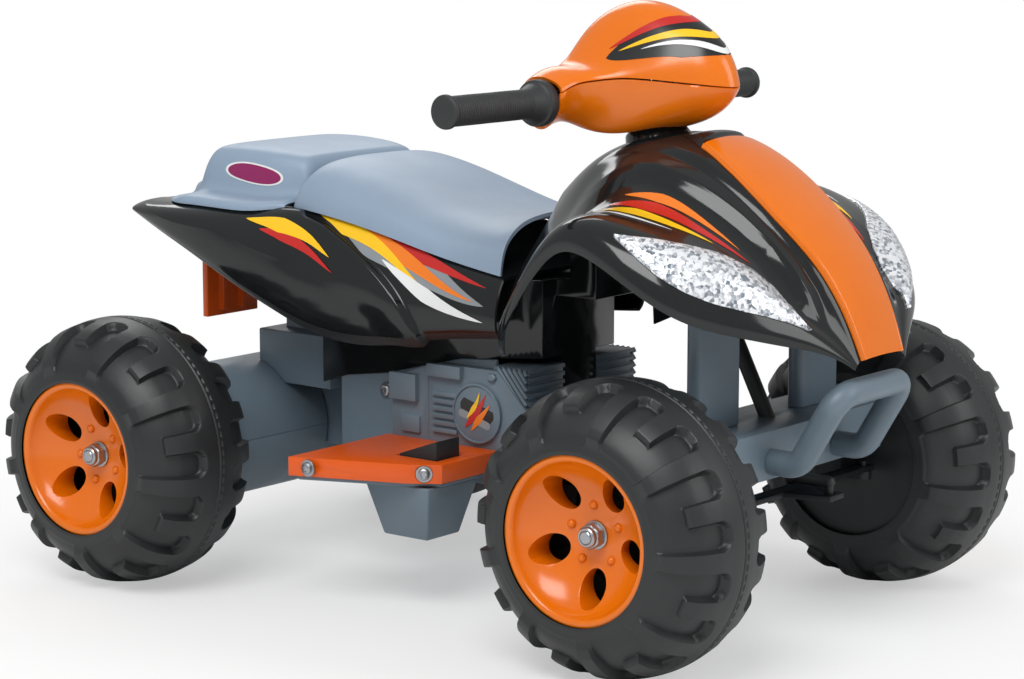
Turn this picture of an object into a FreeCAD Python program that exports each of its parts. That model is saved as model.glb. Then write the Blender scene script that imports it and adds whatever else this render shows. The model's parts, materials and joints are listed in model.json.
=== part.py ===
import FreeCAD, Part
import math
import os
import re
import Sketcher
from types import SimpleNamespace
from FreeCAD import Placement, Rotation, Vector

# Ride-on quad bike for a small child, in millimetres.
# +X points forward, +Y to the rider's left, +Z up; the origin is on the ground under the middle.

SHEET = "Sizes"
SIZES = [
    # Running gear
    ("wheelbase", "490", "distance between the axles"),
    ("front_plane", "184", "middle of a front tyre from the centre line"),
    ("rear_plane", "204", "middle of a rear tyre from the centre line"),
    ("run_gap", "0.06", "radial clearance of a turning fit"),
    ("rest_gap", "0.3", "clearance of a seat or a sliding face"),
    ("overrun", "5", "how far a cut runs past the face it opens"),
    # Tyre and hub
    ("tyre_radius", "110", "outer radius over the lugs"),
    ("tyre_half_width", "57", "half of the tyre's width"),
    ("tyre_wall", "4", "wall of the blow-moulded tyre"),
    ("lug_height", "7", "height of a tread lug"),
    ("rim_radius", "63.5", "radius of the hub cap in the tyre"),
    ("rim_lip", "6.5", "width of the hub cap's lip"),
    ("rim_skirt", "9", "depth of the hub cap's lip"),
    ("hub_depth", "28", "depth of the hub's face below the tyre's side"),
    ("hub_wall", "5", "wall of the hub cap"),
    ("hub_flat", "18", "radius of the flat middle of the hub cap"),
    ("hub_bowl", "47", "radius where the hub cap's bowl turns up"),
    ("hub_bowl_rise", "11", "rise of the bowl over the hub's face"),
    ("hub_hole_place", "38", "radius of the ring of oval holes"),
    ("hub_hole_long", "14", "half length of an oval hole"),
    ("hub_hole_wide", "11", "half width of an oval hole"),
    ("hub_stud_place", "22", "radius of the ring of raised studs"),
    ("hub_stud", "3.4", "radius of a raised stud"),
    ("core_sleeve", "10", "outer radius of the wheel core's sleeve"),
    ("core_web", "4", "thickness of the wheel core's web"),
    ("core_band", "24", "width of the wheel core's outer band"),
    # Axles, knuckles and steering
    ("axle_radius", "5", "radius of the axles"),
    ("nut_flats", "17", "width across the flats of an axle nut"),
    ("nut_height", "10", "height of an axle nut"),
    ("washer_radius", "10.5", "radius of an axle washer"),
    ("washer_thick", "2", "thickness of an axle washer"),
    ("kingpin_plane", "108", "kingpin from the centre line"),
    ("kingpin_radius", "5", "radius of a kingpin"),
    ("kingpin_head", "9", "height of a kingpin above the beam"),
    ("knuckle_length", "24", "length of a knuckle block"),
    ("knuckle_width", "20", "width of a knuckle block"),
    ("knuckle_top", "126", "top of a knuckle block"),
    ("knuckle_foot", "101", "underside of a knuckle block"),
    ("steer_arm", "26", "radius of the steering arms and of the crank"),
    ("arm_width", "15", "width of a steering arm"),
    ("arm_thick", "6.5", "thickness of a steering arm"),
    ("tie_pin", "3.5", "radius of the pins in the tie rod"),
    ("tie_thick", "4", "thickness of the tie rod"),
    ("tie_width", "14", "width of the tie rod"),
    ("tie_play", "0.8", "radial play of the tie rod's loose holes"),
    ("rake", "27", "tilt of the steering axis in degrees"),
    ("steer_foot", "5", "steering axis ahead of the front axle at the beam's top"),
    ("shaft_radius", "6", "radius of the steering shaft"),
    ("crank_radius", "4.5", "radius of the crank's rod"),
    ("crank_rise", "11", "crank above the tie rod"),
    # Front beam, posts and bumper
    ("beam_rear", "32", "beam behind the front axle"),
    ("beam_front", "40", "beam ahead of the front axle"),
    ("beam_half", "112", "half of the beam's length"),
    ("beam_foot", "128", "underside of the beam"),
    ("beam_top", "165", "top of the beam"),
    ("beam_wall", "4", "wall of the beam"),
    ("boss_radius", "12", "radius of the beam's bosses"),
    ("post_inner", "41", "inner edge of a post from the centre line"),
    ("post_outer", "98", "outer edge of a post from the centre line"),
    ("post_face", "9", "front face of a post ahead of the front axle"),
    ("post_thick", "14", "thickness of a post"),
    ("post_round", "6", "radius of a post's edges"),
    ("bumper_half", "46", "bumper legs from the centre line"),
    ("bumper_radius", "10", "radius of the bumper's tube"),
    ("bumper_front", "343", "centre of the bumper's top bar ahead of the middle"),
    ("bumper_top", "198", "centre of the bumper's top bar above ground"),
    ("bumper_knee", "309", "lower bend of the bumper ahead of the middle"),
    ("bumper_foot", "141", "foot of the bumper above ground"),
    ("bumper_bend", "16", "radius of the bumper's bends"),
    # Rear axle housing and drive
    ("drum_radius", "58", "radius of the axle housing's drums"),
    ("drum_end", "140", "outer end of a drum from the centre line"),
    ("drum_inner", "20", "inner end of a drum from the centre line"),
    ("drum_neck", "42", "radius of the neck between the drums"),
    ("drum_wall", "3", "wall of the axle housing"),
    ("dog_radius", "16", "radius of the drive gear's sleeve"),
    ("gear_module", "1.25", "module of the drive gears"),
    ("gear_width", "8", "width of the drive gear"),
    ("gear_place", "125", "middle of the drive gear from the centre line"),
    ("gear_slack", "0.25", "backlash of the drive gears"),
    ("motor_radius", "15", "radius of the motor"),
    ("motor_length", "52", "length of the motor"),
    ("motor_shaft", "2", "radius of the motor's shaft"),
    ("motor_plate", "3", "thickness of the plate that holds the motor"),
    ("tower_rear", "231", "rear face of the rear tower behind the middle"),
    ("tower_half", "58", "half width of the rear tower"),
    ("tower_wall", "4", "wall of the rear tower"),
    ("tower_foot", "149", "underside of the rear tower beside the drums"),
    ("tower_waist", "194", "top of the rear tower's wide foot"),
    ("tower_neck_rear", "216", "rear face of the rear tower's neck behind the middle"),
    ("tower_neck_half", "40", "half width of the rear tower's neck"),
    # Chassis tub, frame, battery and engine panels
    ("tub_half", "66", "half width of the tub"),
    ("tub_foot", "92", "underside of the tub"),
    ("tub_wall", "4", "wall of the tub"),
    ("tub_rear", "130", "rear end of the tub behind the middle"),
    ("tongue_half", "17", "half width of the tub's tongue to the axle housing"),
    ("tongue_top", "146", "top of the tub's tongue"),
    ("rail_top", "150", "top of the tub's front rail"),
    ("rail_foot", "116", "underside of the tub's front rail"),
    ("rail_rear", "36", "rear end of the tub's low front rail"),
    ("rail_knee", "142", "place where the rail's underside starts to rise"),
    ("frame_half", "66", "half width of the main frame"),
    ("frame_wall", "4", "wall of the main frame"),
    ("frame_rear", "150", "rear end of the main frame behind the middle"),
    ("frame_front", "69", "front end of the main frame"),
    ("frame_front_top", "260", "top of the main frame's front end"),
    ("frame_foot_low", "157", "lower edge of the main frame at its rear end"),
    ("frame_foot_rise", "40", "rise of the main frame's lower edge to its front end"),
    ("frame_taper", "20", "place where the main frame starts to narrow to its front end"),
    ("frame_nose", "48", "half width of the main frame's front end"),
    ("frame_leg_half", "23", "half width of the leg that stands on the tub's rail"),
    ("frame_leg", "29", "length of the leg that stands on the tub's rail"),
    ("frame_seat", "1.3", "main frame below the deck that it carries"),
    ("bracket_front", "108", "front face of the fairing's bracket"),
    ("bracket_length", "26", "length of the fairing's bracket"),
    ("bracket_half", "30", "half width of the fairing's bracket"),
    ("bracket_foot", "246", "underside of the fairing's bracket"),
    ("bracket_wall", "4", "wall of the fairing's bracket"),
    ("battery_length", "68", "length of the battery"),
    ("battery_width", "70", "width of the battery"),
    ("battery_height", "58", "height of the battery"),
    ("terminal_radius", "4", "radius of a battery terminal"),
    ("terminal_height", "6", "height of a battery terminal"),
    ("panel_thick", "9", "thickness of an engine panel"),
    ("panel_rear", "66", "rear end of an engine panel behind the middle"),
    ("panel_front", "74", "front end of an engine panel"),
    ("panel_foot", "100", "underside of an engine panel"),
    ("panel_top", "188", "top of an engine panel"),
    ("panel_relief", "5", "how far the engine panel's details stand out"),
    ("panel_cover", "24", "radius of the engine panel's round cover"),
    ("panel_fin", "3.2", "thickness of an engine block's cooling fin"),
    ("fin_reach", "2", "how far a cooling fin stands out"),
    ("block_front", "71", "front face of an engine block"),
    ("block_foot", "162", "underside of an engine block"),
    ("block_top", "191", "top of an engine block"),
    ("block_inner", "24", "inner face of an engine block from the centre line"),
    # Footrests and pedal
    ("rest_top", "124", "top of a footrest"),
    ("rest_thick", "15", "thickness of a footrest"),
    ("rest_reach", "196", "outer rear corner of a footrest from the centre line"),
    ("rest_front_reach", "158", "outer front corner of a footrest from the centre line"),
    ("rest_rear", "70", "rear edge of a footrest behind the middle"),
    ("rest_front", "46", "front edge of a footrest"),
    ("rest_rim", "4", "pan's edge inside the footrest's edge"),
    ("pan_thick", "4", "thickness of a footrest's pan"),
    ("screw_head", "7", "radius of a footrest screw's head"),
    ("screw_rise", "4", "height of a footrest screw's head"),
    ("screw_shank", "2.5", "radius of a footrest screw's shank"),
    ("screw_depth", "10", "length of a footrest screw in the footrest"),
    ("pedal_heel", "-2", "hinge of the pedal ahead of the middle"),
    ("pedal_length", "34", "length of the pedal"),
    ("pedal_width", "28", "width of the pedal"),
    ("pedal_place", "122", "middle of the pedal from the centre line"),
    ("pedal_rise", "15", "toe of the pedal above the footrest"),
    ("pedal_skirt", "8", "depth of the pedal's toe below the footrest"),
    ("pedal_play", "2", "gap round the pedal"),
    ("pedal_pin", "2.5", "radius of the pedal's hinge pin"),
    ("bucket_wall", "3", "wall of the pedal box"),
    ("bucket_foot", "60", "underside of the pedal box"),
    ("bucket_rear", "-28", "rear edge of the pedal box"),
    ("bucket_front", "39", "front edge of the pedal box"),
    ("bucket_outer", "154", "outer edge of the pedal box from the centre line"),
    ("bucket_inner", "92", "inner edge of the pedal box from the centre line"),
    ("bucket_taper", "11", "how far each side of the pedal box draws in"),
    ("spring_radius", "5", "mean radius of the pedal's spring"),
    ("spring_wire", "0.8", "radius of the spring's wire"),
    ("spring_place", "21", "spring ahead of the pedal's hinge"),
    ("spring_turns", "9", "turns of the spring"),
    ("switch_length", "20", "length of the pedal's switch"),
    ("switch_width", "8", "width of the pedal's switch"),
    ("switch_height", "22", "height of the pedal's switch"),
    # Direction switch on the main frame's left side
    ("rocker_place", "-10", "direction switch ahead of the middle"),
    ("rocker_height", "203", "direction switch above ground"),
    ("rocker_length", "18", "length of the rocker"),
    ("rocker_width", "11", "width of the rocker"),
    ("rocker_radius", "14", "radius of the rocker's face"),
    ("rocker_rise", "4", "how far the rocker stands out"),
    ("rocker_play", "1.9", "gap at each end of the rocker"),
    ("bezel_rim", "4", "width of the switch's rim"),
    ("bezel_thick", "3", "thickness of the switch's rim"),
    ("bezel_depth", "14", "depth of the switch's case"),
    # Body shells
    ("shell_wall", "3", "wall of the body shells"),
    ("fairing_rear", "66", "rear end of the front fairing"),
    ("fairing_length", "284", "length of the front fairing"),
    ("fairing_half", "170", "half width of the front fairing"),
    ("fairing_foot", "200", "level that the fairing's shares start from"),
    ("fairing_rise", "180", "height that the fairing's shares follow"),
    ("trim_lift", "1", "gap under the hood's stripe and the headlights"),
    ("trim_thick", "2.4", "thickness of the hood's stripe and the headlights"),
    ("boot_foot", "31", "lower radius of the column's cover"),
    ("boot_head", "22", "upper radius of the column's cover"),
    ("boot_low", "358", "lower end of the column's cover on the steering axis"),
    ("boot_height", "28", "length of the column's cover"),
    ("body_rear", "322", "rear end of the rear body behind the middle"),
    ("body_length", "384", "length of the rear body"),
    ("body_half", "135", "half width of the rear body"),
    ("body_foot", "200", "level that the rear body's shares start from"),
    ("body_rise", "110", "height that the rear body's shares follow"),
    ("cowl_rear", "298", "rear end of the tail cowl behind the middle"),
    ("cowl_length", "138", "length of the tail cowl"),
    ("cowl_half", "118", "half width of the tail cowl"),
    ("cowl_foot", "307", "underside of the tail cowl"),
    ("cowl_rise", "46", "height of the tail cowl"),
    ("saddle_rear", "157", "rear end of the saddle behind the middle"),
    ("saddle_length", "217", "length of the saddle"),
    ("saddle_half", "101", "half width of the saddle"),
    ("saddle_foot", "265", "level that the saddle's shares start from"),
    ("saddle_rise", "84", "height that the saddle's shares follow"),
    ("crown_seat", "1.2", "saddle and cowl above the deck at their edges"),
    ("flap_place", "266", "mud flap behind the middle"),
    ("flap_thick", "6", "thickness of the mud flap"),
    ("flap_half", "84", "half width of the mud flap"),
    ("flap_slot", "22", "half width of the gap in the mud flap"),
    ("flap_foot", "203", "lower edge of the mud flap"),
    ("flap_waist", "262", "top of the gap in the mud flap"),
    ("flap_seat", "1", "mud flap below the deck that it hangs from"),
    ("flap_rib", "5", "width and height of a rib on the mud flap"),
    # Handlebar
    ("bar_place", "95", "handlebar tube ahead of the middle"),
    ("bar_height", "404", "handlebar tube above ground"),
    ("bar_half", "198", "half length of the handlebar tube"),
    ("bar_radius", "8", "radius of the handlebar tube"),
    ("stem_half", "15", "half width of the handlebar's stem"),
    ("stem_wall", "7", "wall of the stem round the tube and the shaft"),
    ("grip_end", "202", "outer end of a grip from the centre line"),
    ("grip_radius", "11.5", "radius of a grip"),
    ("grip_flange", "13", "radius of a grip's end"),
    ("grip_flange_thick", "5", "thickness of a grip's end"),
    ("grip_collar", "18", "radius of a grip's inner collar"),
    ("grip_collar_thick", "9", "thickness of a grip's inner collar"),
    ("cover_half", "83", "half width of the handlebar's cover"),
    ("cover_rear", "74", "rear of the handlebar's cover"),
    ("cover_length", "151", "length of the handlebar's cover"),
    ("cover_seam", "416", "seam of the handlebar's cover above ground"),
    ("cover_rise", "65", "height of the upper cover"),
    ("cover_drop", "34", "depth of the lower cover"),
    ("cover_wall", "2.5", "wall of the handlebar's cover"),
    ("cover_gap", "1.4", "gap at the seam of the handlebar's cover"),
    ("cover_neck", "29", "radius of the lower cover's opening round the column"),
]
NAMES = {alias for alias, text, meaning in SIZES}

LUG_PAIRS = 9
TOOTH_ANGLE_SHARE = 0.45
TYRE_TURNS = {"front": 37.0, "rear": 32.0}
HUB_TURNS = {"front": 22.0, "rear": -30.0}
HUB_HOLES = 5
DRIVE_TEETH = 48
PINION_TEETH = 12
PRESSURE_ANGLE = 25.0
ADDENDUM_SHARE = 0.75
DEDENDUM_SHARE = 1.1
DEGREE = 3

# Tyre section from the rim to the crown: shares of the radial height and of the half width
TYRE_SHARES = ((0.0, 0.95), (0.19, 0.99), (0.34, 0.965), (0.47, 0.91), (0.61, 0.825), (0.72, 0.74),
               (0.823, 0.63), (0.886, 0.525), (0.95, 0.35), (1.0, 0.0))

# Edge of the tread's middle band, then the outer line of the teeth from that band to the sidewall:
# shares of the half width and of the tyre's radius; a short tooth takes the first points of the line
BAND_SHARES = ((0.14, 0.998), (0.25, 0.988))
LUG_SHARES = ((0.18, 0.985), (0.35, 0.98), (0.53, 0.955), (0.63, 0.932), (0.74, 0.891), (0.825, 0.85),
              (0.91, 0.805), (0.965, 0.77), (0.985, 0.735))
SHORT_POINTS = 5

# Front fairing: rows from the rear to the nose, each from the centre line to the lip,
# as shares of the length, of the half width and of the rise
FAIRING_SHARES = (
    ((0.011, 0.0, 0.767), (0.028, 0.153, 0.733), (0.039, 0.224, 0.689), (0.046, 0.306, 0.617),
     (0.035, 0.424, 0.489), (0.021, 0.518, 0.356), (0.014, 0.576, 0.239), (0.011, 0.600, 0.150),
     (0.014, 0.600, 0.039)),
    ((0.099, 0.0, 0.883), (0.109, 0.165, 0.856), (0.116, 0.247, 0.806), (0.116, 0.335, 0.722),
     (0.113, 0.494, 0.517), (0.106, 0.641, 0.333), (0.099, 0.788, 0.228), (0.095, 0.847, 0.178),
     (0.102, 0.841, 0.122)),
    ((0.190, 0.0, 0.950), (0.194, 0.176, 0.928), (0.194, 0.271, 0.878), (0.194, 0.359, 0.789),
     (0.190, 0.559, 0.578), (0.187, 0.735, 0.467), (0.183, 0.876, 0.389), (0.183, 0.906, 0.333),
     (0.183, 0.888, 0.278)),
    ((0.289, 0.0, 0.994), (0.289, 0.188, 0.978), (0.285, 0.288, 0.928), (0.285, 0.376, 0.839),
     (0.282, 0.600, 0.667), (0.278, 0.788, 0.633), (0.275, 0.924, 0.589), (0.275, 0.953, 0.522),
     (0.275, 0.924, 0.461)),
    ((0.408, 0.0, 1.022), (0.405, 0.200, 1.000), (0.401, 0.306, 0.944), (0.398, 0.388, 0.856),
     (0.394, 0.618, 0.717), (0.391, 0.824, 0.750), (0.387, 0.959, 0.728), (0.387, 0.982, 0.667),
     (0.387, 0.971, 0.611)),
    ((0.535, 0.0, 0.978), (0.532, 0.224, 0.956), (0.525, 0.318, 0.894), (0.518, 0.394, 0.811),
     (0.514, 0.624, 0.700), (0.511, 0.859, 0.722), (0.511, 0.971, 0.661), (0.511, 0.994, 0.594),
     (0.511, 0.982, 0.539)),
    ((0.651, 0.0, 0.872), (0.648, 0.241, 0.850), (0.641, 0.318, 0.794), (0.634, 0.388, 0.722),
     (0.627, 0.624, 0.650), (0.623, 0.859, 0.661), (0.623, 0.976, 0.556), (0.627, 1.000, 0.500),
     (0.627, 0.994, 0.439)),
    ((0.768, 0.0, 0.728), (0.761, 0.253, 0.700), (0.757, 0.300, 0.656), (0.750, 0.376, 0.594),
     (0.746, 0.588, 0.561), (0.743, 0.788, 0.583), (0.743, 0.894, 0.433), (0.746, 0.918, 0.378),
     (0.743, 0.912, 0.317)),
    ((0.863, 0.0, 0.578), (0.859, 0.224, 0.550), (0.856, 0.265, 0.511), (0.849, 0.329, 0.456),
     (0.845, 0.488, 0.428), (0.845, 0.618, 0.461), (0.849, 0.712, 0.344), (0.849, 0.741, 0.300),
     (0.845, 0.729, 0.261)),
    ((0.930, 0.0, 0.428), (0.926, 0.200, 0.406), (0.923, 0.229, 0.367), (0.923, 0.276, 0.322),
     (0.919, 0.371, 0.289), (0.923, 0.447, 0.311), (0.923, 0.506, 0.261), (0.923, 0.524, 0.233),
     (0.919, 0.506, 0.206)),
    ((0.975, 0.0, 0.278), (0.972, 0.182, 0.261), (0.968, 0.206, 0.233), (0.968, 0.229, 0.211),
     (0.968, 0.259, 0.200), (0.972, 0.282, 0.194), (0.972, 0.306, 0.178), (0.972, 0.312, 0.172),
     (0.972, 0.306, 0.161)),
    ((1.000, 0.0, 0.133), (1.000, 0.171, 0.125), (1.000, 0.182, 0.119), (1.000, 0.188, 0.114),
     (1.000, 0.194, 0.108), (1.001, 0.201, 0.104), (1.001, 0.207, 0.099), (1.001, 0.212, 0.096),
     (1.000, 0.213, 0.090)),
)

# Rear body: station along its length, then points from the deck's middle to the lower lip
BODY_SHARES = (
    (0.000, ((0.0, 0.927), (0.444, 0.927), (0.667, 0.927), (0.770, 0.918), (0.844, 0.891),
             (0.867, 0.873), (0.859, 0.855), (0.815, 0.836))),
    (0.083, ((0.0, 0.945), (0.489, 0.945), (0.726, 0.945), (0.844, 0.936), (0.948, 0.900),
             (0.963, 0.836), (0.948, 0.773), (0.889, 0.745))),
    (0.188, ((0.0, 0.964), (0.548, 0.964), (0.770, 0.964), (0.889, 0.945), (0.993, 0.891),
             (0.993, 0.764), (0.963, 0.636), (0.904, 0.600))),
    (0.305, ((0.0, 0.964), (0.593, 0.964), (0.785, 0.964), (0.889, 0.909), (0.985, 0.800),
             (0.978, 0.618), (0.956, 0.427), (0.889, 0.391))),
    (0.422, ((0.0, 0.964), (0.622, 0.964), (0.756, 0.955), (0.844, 0.873), (0.963, 0.673),
             (0.956, 0.473), (0.933, 0.255), (0.867, 0.218))),
    (0.531, ((0.0, 0.955), (0.652, 0.955), (0.726, 0.936), (0.800, 0.818), (0.919, 0.545),
             (0.904, 0.318), (0.881, 0.082), (0.807, 0.036))),
    (0.656, ((0.0, 0.891), (0.667, 0.891), (0.726, 0.873), (0.785, 0.745), (0.867, 0.473),
             (0.859, 0.255), (0.830, 0.036), (0.763, -0.009))),
    (0.786, ((0.0, 0.773), (0.667, 0.773), (0.726, 0.755), (0.770, 0.636), (0.822, 0.400),
             (0.815, 0.255), (0.793, 0.100), (0.733, 0.064))),
    (0.904, ((0.0, 0.682), (0.652, 0.682), (0.704, 0.664), (0.741, 0.564), (0.778, 0.382),
             (0.778, 0.282), (0.763, 0.155), (0.711, 0.118))),
    (1.000, ((0.0, 0.609), (0.622, 0.609), (0.674, 0.591), (0.711, 0.509), (0.741, 0.382),
             (0.748, 0.291), (0.741, 0.200), (0.689, 0.164))),
)

# Tail cowl and saddle: station, half width and height of the middle
COWL_SHARES = (
    (0.00, 0.72, 0.20), (0.02, 0.80, 0.24), (0.10, 0.92, 0.26), (0.20, 0.98, 0.70), (0.32, 1.00, 0.98),
    (0.55, 1.00, 1.04), (0.78, 0.98, 1.04), (0.92, 0.90, 1.00), (0.99, 0.86, 0.92), (1.00, 0.85, 0.60),
)
COWL_SECTION_SHARES = ((0.0, 1.0), (0.42, 1.0), (0.62, 0.93), (0.70, 0.50), (0.80, 0.22),
                       (0.95, 0.16), (1.0, 0.10), (1.0, 0.0))
SADDLE_SHARES = (
    (0.00, 0.91, 0.72), (0.01, 0.92, 0.90), (0.06, 0.94, 0.98), (0.16, 0.97, 0.95), (0.33, 0.98, 0.84),
    (0.52, 0.98, 0.67), (0.72, 0.97, 0.525), (0.87, 0.94, 0.475), (0.95, 0.92, 0.50), (1.00, 0.90, 0.56),
)
SADDLE_SECTION_SHARES = ((0.0, 1.0), (0.35, 1.0), (0.66, 0.93), (0.88, 0.70), (0.98, 0.40), (1.0, 0.0))

# Handlebar cover: place across, rear and front edges, seam, rise and drop
COVER_SHARES = (
    (-1.00, 0.018, 0.268, -0.046, 0.162, 0.809), (-0.83, 0.015, 0.273, 0.054, 0.169, 0.836),
    (-0.66, 0.009, 0.338, 0.076, 0.148, 0.899), (-0.53, 0.010, 0.454, 0.123, 0.112, 1.144),
    (-0.42, 0.025, 0.688, 0.084, 0.369, 1.248), (-0.24, 0.016, 0.884, 0.038, 0.861, 1.019),
    (0.00, 0.005, 0.994, 0.0, 0.993, 1.007), (0.24, 0.016, 0.884, 0.038, 0.861, 1.019),
    (0.42, 0.025, 0.688, 0.084, 0.369, 1.248), (0.53, 0.010, 0.454, 0.123, 0.112, 1.144),
    (0.66, 0.009, 0.338, 0.076, 0.148, 0.899), (0.83, 0.015, 0.273, 0.054, 0.169, 0.836),
    (1.00, 0.018, 0.268, -0.046, 0.162, 0.809),
)
UPPER_SECTION_SHARES = ((0.0, 0.0), (0.0, 0.48), (0.14, 0.92), (0.42, 1.10), (0.72, 0.86),
                        (0.97, 0.45), (1.0, 0.0))
LOWER_SECTION_SHARES = ((0.0, 0.0), (0.0, 0.5), (0.16, 0.92), (0.45, 1.08), (0.72, 0.92),
                        (0.94, 0.5), (1.0, 0.0))

# Trim on the fairing: reach along its stations, then half width or edges across its points
STRIPE_SHARES = (0.394, 1.0)
STRIPE_WIDTH_SHARES = (0.070, 0.083, 0.089, 0.091, 0.089, 0.088, 0.090, 0.095)
LIGHT_SHARES = (0.474, 0.905)
LIGHT_TOP_SHARES = (0.097, 0.133, 0.166, 0.209, 0.231, 0.233, 0.209, 0.129)
LIGHT_FOOT_SHARES = (0.090, 0.080, 0.069, 0.067, 0.070, 0.081, 0.098, 0.122)

# Main frame's lower edge from its rear end: shares of its length and of the edge's rise
FRAME_FOOT_SHARES = ((0.0, 0.0), (0.123, 0.225), (0.329, 0.39), (0.489, 0.625), (0.685, 0.89),
                     (0.868, 0.965), (1.0, 1.0))

TURN_TO_X = Rotation(Vector(0, 1, 0), 90)
TURN_TO_LEFT = Rotation(Vector(1, 0, 0), -90)
TURN_TO_RIGHT = Rotation(Vector(1, 0, 0), 90)

doc = FreeCAD.newDocument("quad_bike")
sheet = doc.addObject("Spreadsheet::Sheet", SHEET)
for row, (alias, text, meaning) in enumerate(SIZES, start=1):
    sheet.set(f"A{row}", meaning)
    sheet.set(f"B{row}", text)
    sheet.setAlias(f"B{row}", alias)
doc.recompute()
size = SimpleNamespace(**{alias: float(sheet.get(alias)) for alias in NAMES})

nodes = []


# Helpers for bound objects

def bound(formula):
    """Put the sheet's name before each alias in a formula."""
    return re.sub(r"[a-z]\w*", lambda word: f"{SHEET}.{word[0]}" if word[0] in NAMES else word[0], formula)


def bind(item, **formulas):
    """Bind properties of an object to formulas of the sheet's aliases."""
    for name, formula in formulas.items():
        item.setExpression(name, bound(formula))
    return item


def seat(item, x="0", y="0", z="0", turn=Rotation()):
    """Turn an object and bind its place to three formulas."""
    item.Placement = Placement(Vector(), turn)
    for axis, formula in zip("xyz", (x, y, z)):
        item.setExpression(f"Placement.Base.{axis}", bound(formula))
    return item


def node(item, label):
    """Name an object as a sub-part that is written to a file."""
    item.Label = label
    nodes.append(item)
    return item


def box(name, x, y, z):
    """Make a box between pairs of formulas along the three axes."""
    item = doc.addObject("Part::Box", name)
    for side, (low, high) in zip(("Length", "Width", "Height"), (x, y, z)):
        item.setExpression(side, bound(f"({high}) - ({low})"))
    return seat(item, x[0], y[0], z[0])


def rod_along_y(name, radius, low, high, x, z):
    """Make a cylinder along Y between two formulas."""
    item = bind(doc.addObject("Part::Cylinder", name), Radius=radius, Height=f"({high}) - ({low})")
    return seat(item, x, low, z, TURN_TO_LEFT)


def rod_along_z(name, radius, low, high, x, y):
    """Make a cylinder along Z between two formulas."""
    item = bind(doc.addObject("Part::Cylinder", name), Radius=radius, Height=f"({high}) - ({low})")
    return seat(item, x, y, low)


def fuse(name, *items):
    """Join objects into one solid."""
    whole = doc.addObject("Part::MultiFuse", name)
    whole.Shapes = list(items)
    return whole


def cut(name, base, *tools):
    """Cut one or more objects from a base."""
    item = doc.addObject("Part::Cut", name)
    item.Base = base
    item.Tool = tools[0] if len(tools) == 1 else fuse(f"{name}_cuts", *tools)
    return item


def common(name, first, second):
    """Keep what two objects share."""
    item = doc.addObject("Part::Common", name)
    item.Base = first
    item.Tool = second
    return item


def group(name, *items):
    """Keep separate solids together as one object."""
    whole = doc.addObject("Part::Compound", name)
    whole.Links = list(items)
    return whole


def mirrored(name, source):
    """Mirror an object to the other side of the vehicle."""
    item = doc.addObject("Part::Mirroring", name)
    item.Source = source
    item.Base = Vector()
    item.Normal = Vector(0, 1, 0)
    return item


def feature(name, shape, placement=Placement()):
    """Hold a shape that is worked out from the sheet's sizes."""
    item = doc.addObject("Part::Feature", name)
    item.Shape = shape
    item.Placement = placement
    return item


def sketch_in(body, name, plane="XY_Plane"):
    """Start a sketch on one of a body's own origin planes."""
    sketch = body.newObject("Sketcher::SketchObject", name)
    origin = next(item for item in body.Origin.OriginFeatures if item.Role == plane)
    sketch.AttachmentSupport = [(origin, "")]
    sketch.MapMode = "FlatFace"
    return sketch


def pin_point(sketch, geometry, vertex, x, y):
    """Bind a point of a sketch to two formulas."""
    for kind, formula in (("DistanceX", x), ("DistanceY", y)):
        index = sketch.addConstraint(Sketcher.Constraint(kind, -1, 1, geometry, vertex, 1.0))
        sketch.setExpression(f"Constraints[{index}]", bound(formula))


def polygon(sketch, points):
    """Draw a closed outline through pairs of formulas."""
    count = len(points)
    start = sketch.GeometryCount
    ring = [Vector(math.cos(2 * math.pi * step / count), math.sin(2 * math.pi * step / count))
            for step in range(count)]
    for step in range(count):
        sketch.addGeometry(Part.LineSegment(ring[step], ring[(step + 1) % count]), False)
    for step in range(count):
        following = start + (step + 1) % count
        sketch.addConstraint(Sketcher.Constraint("Coincident", start + step, 2, following, 1))
    for step, (x, y) in enumerate(points):
        pin_point(sketch, start + step, 1, x, y)


def circle(sketch, x, y, radius):
    """Draw a circle at a pair of formulas."""
    index = sketch.addGeometry(Part.Circle(Vector(1, 1), Vector(0, 0, 1), 1), False)
    pin_point(sketch, index, 3, x, y)
    ring = sketch.addConstraint(Sketcher.Constraint("Radius", index, 1.0))
    sketch.setExpression(f"Constraints[{ring}]", bound(radius))


def plate(name, outline, thickness, holes=(), place=("0", "0", "0"), turn=Rotation()):
    """Make a body with one pad of an outline and round holes."""
    body = doc.addObject("PartDesign::Body", name)
    sketch = sketch_in(body, f"{name}_outline")
    polygon(sketch, outline)
    for hole in holes:
        circle(sketch, *hole)
    pad = body.newObject("PartDesign::Pad", f"{name}_pad")
    pad.Profile = sketch
    bind(pad, Length=thickness)
    return seat(body, *place, turn)


# Helpers for shells

def clamped_surface(net):
    """Make a smooth surface whose edges run through the edge points of a net."""
    knots = []
    counts = []
    for points in (len(net), len(net[0])):
        spans = points - DEGREE
        knots.append(list(range(spans + 1)))
        counts.append([DEGREE + 1] + [1] * (spans - 1) + [DEGREE + 1])
    surface = Part.BSplineSurface()
    surface.buildFromPolesMultsKnots(net, *counts, *knots, False, False, DEGREE, DEGREE)
    return surface


def moved_net(net, distance):
    """Move a net's points along its own normals."""
    last_row = len(net) - 1
    last_point = len(net[0]) - 1
    moved = []
    for i, line in enumerate(net):
        row = []
        for j, point in enumerate(line):
            along = net[min(i + 1, last_row)][j] - net[max(i - 1, 0)][j]
            across = line[min(j + 1, last_point)] - line[max(j - 1, 0)]
            row.append(point + along.cross(across).normalize() * distance)
        moved.append(row)
    return moved


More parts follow.
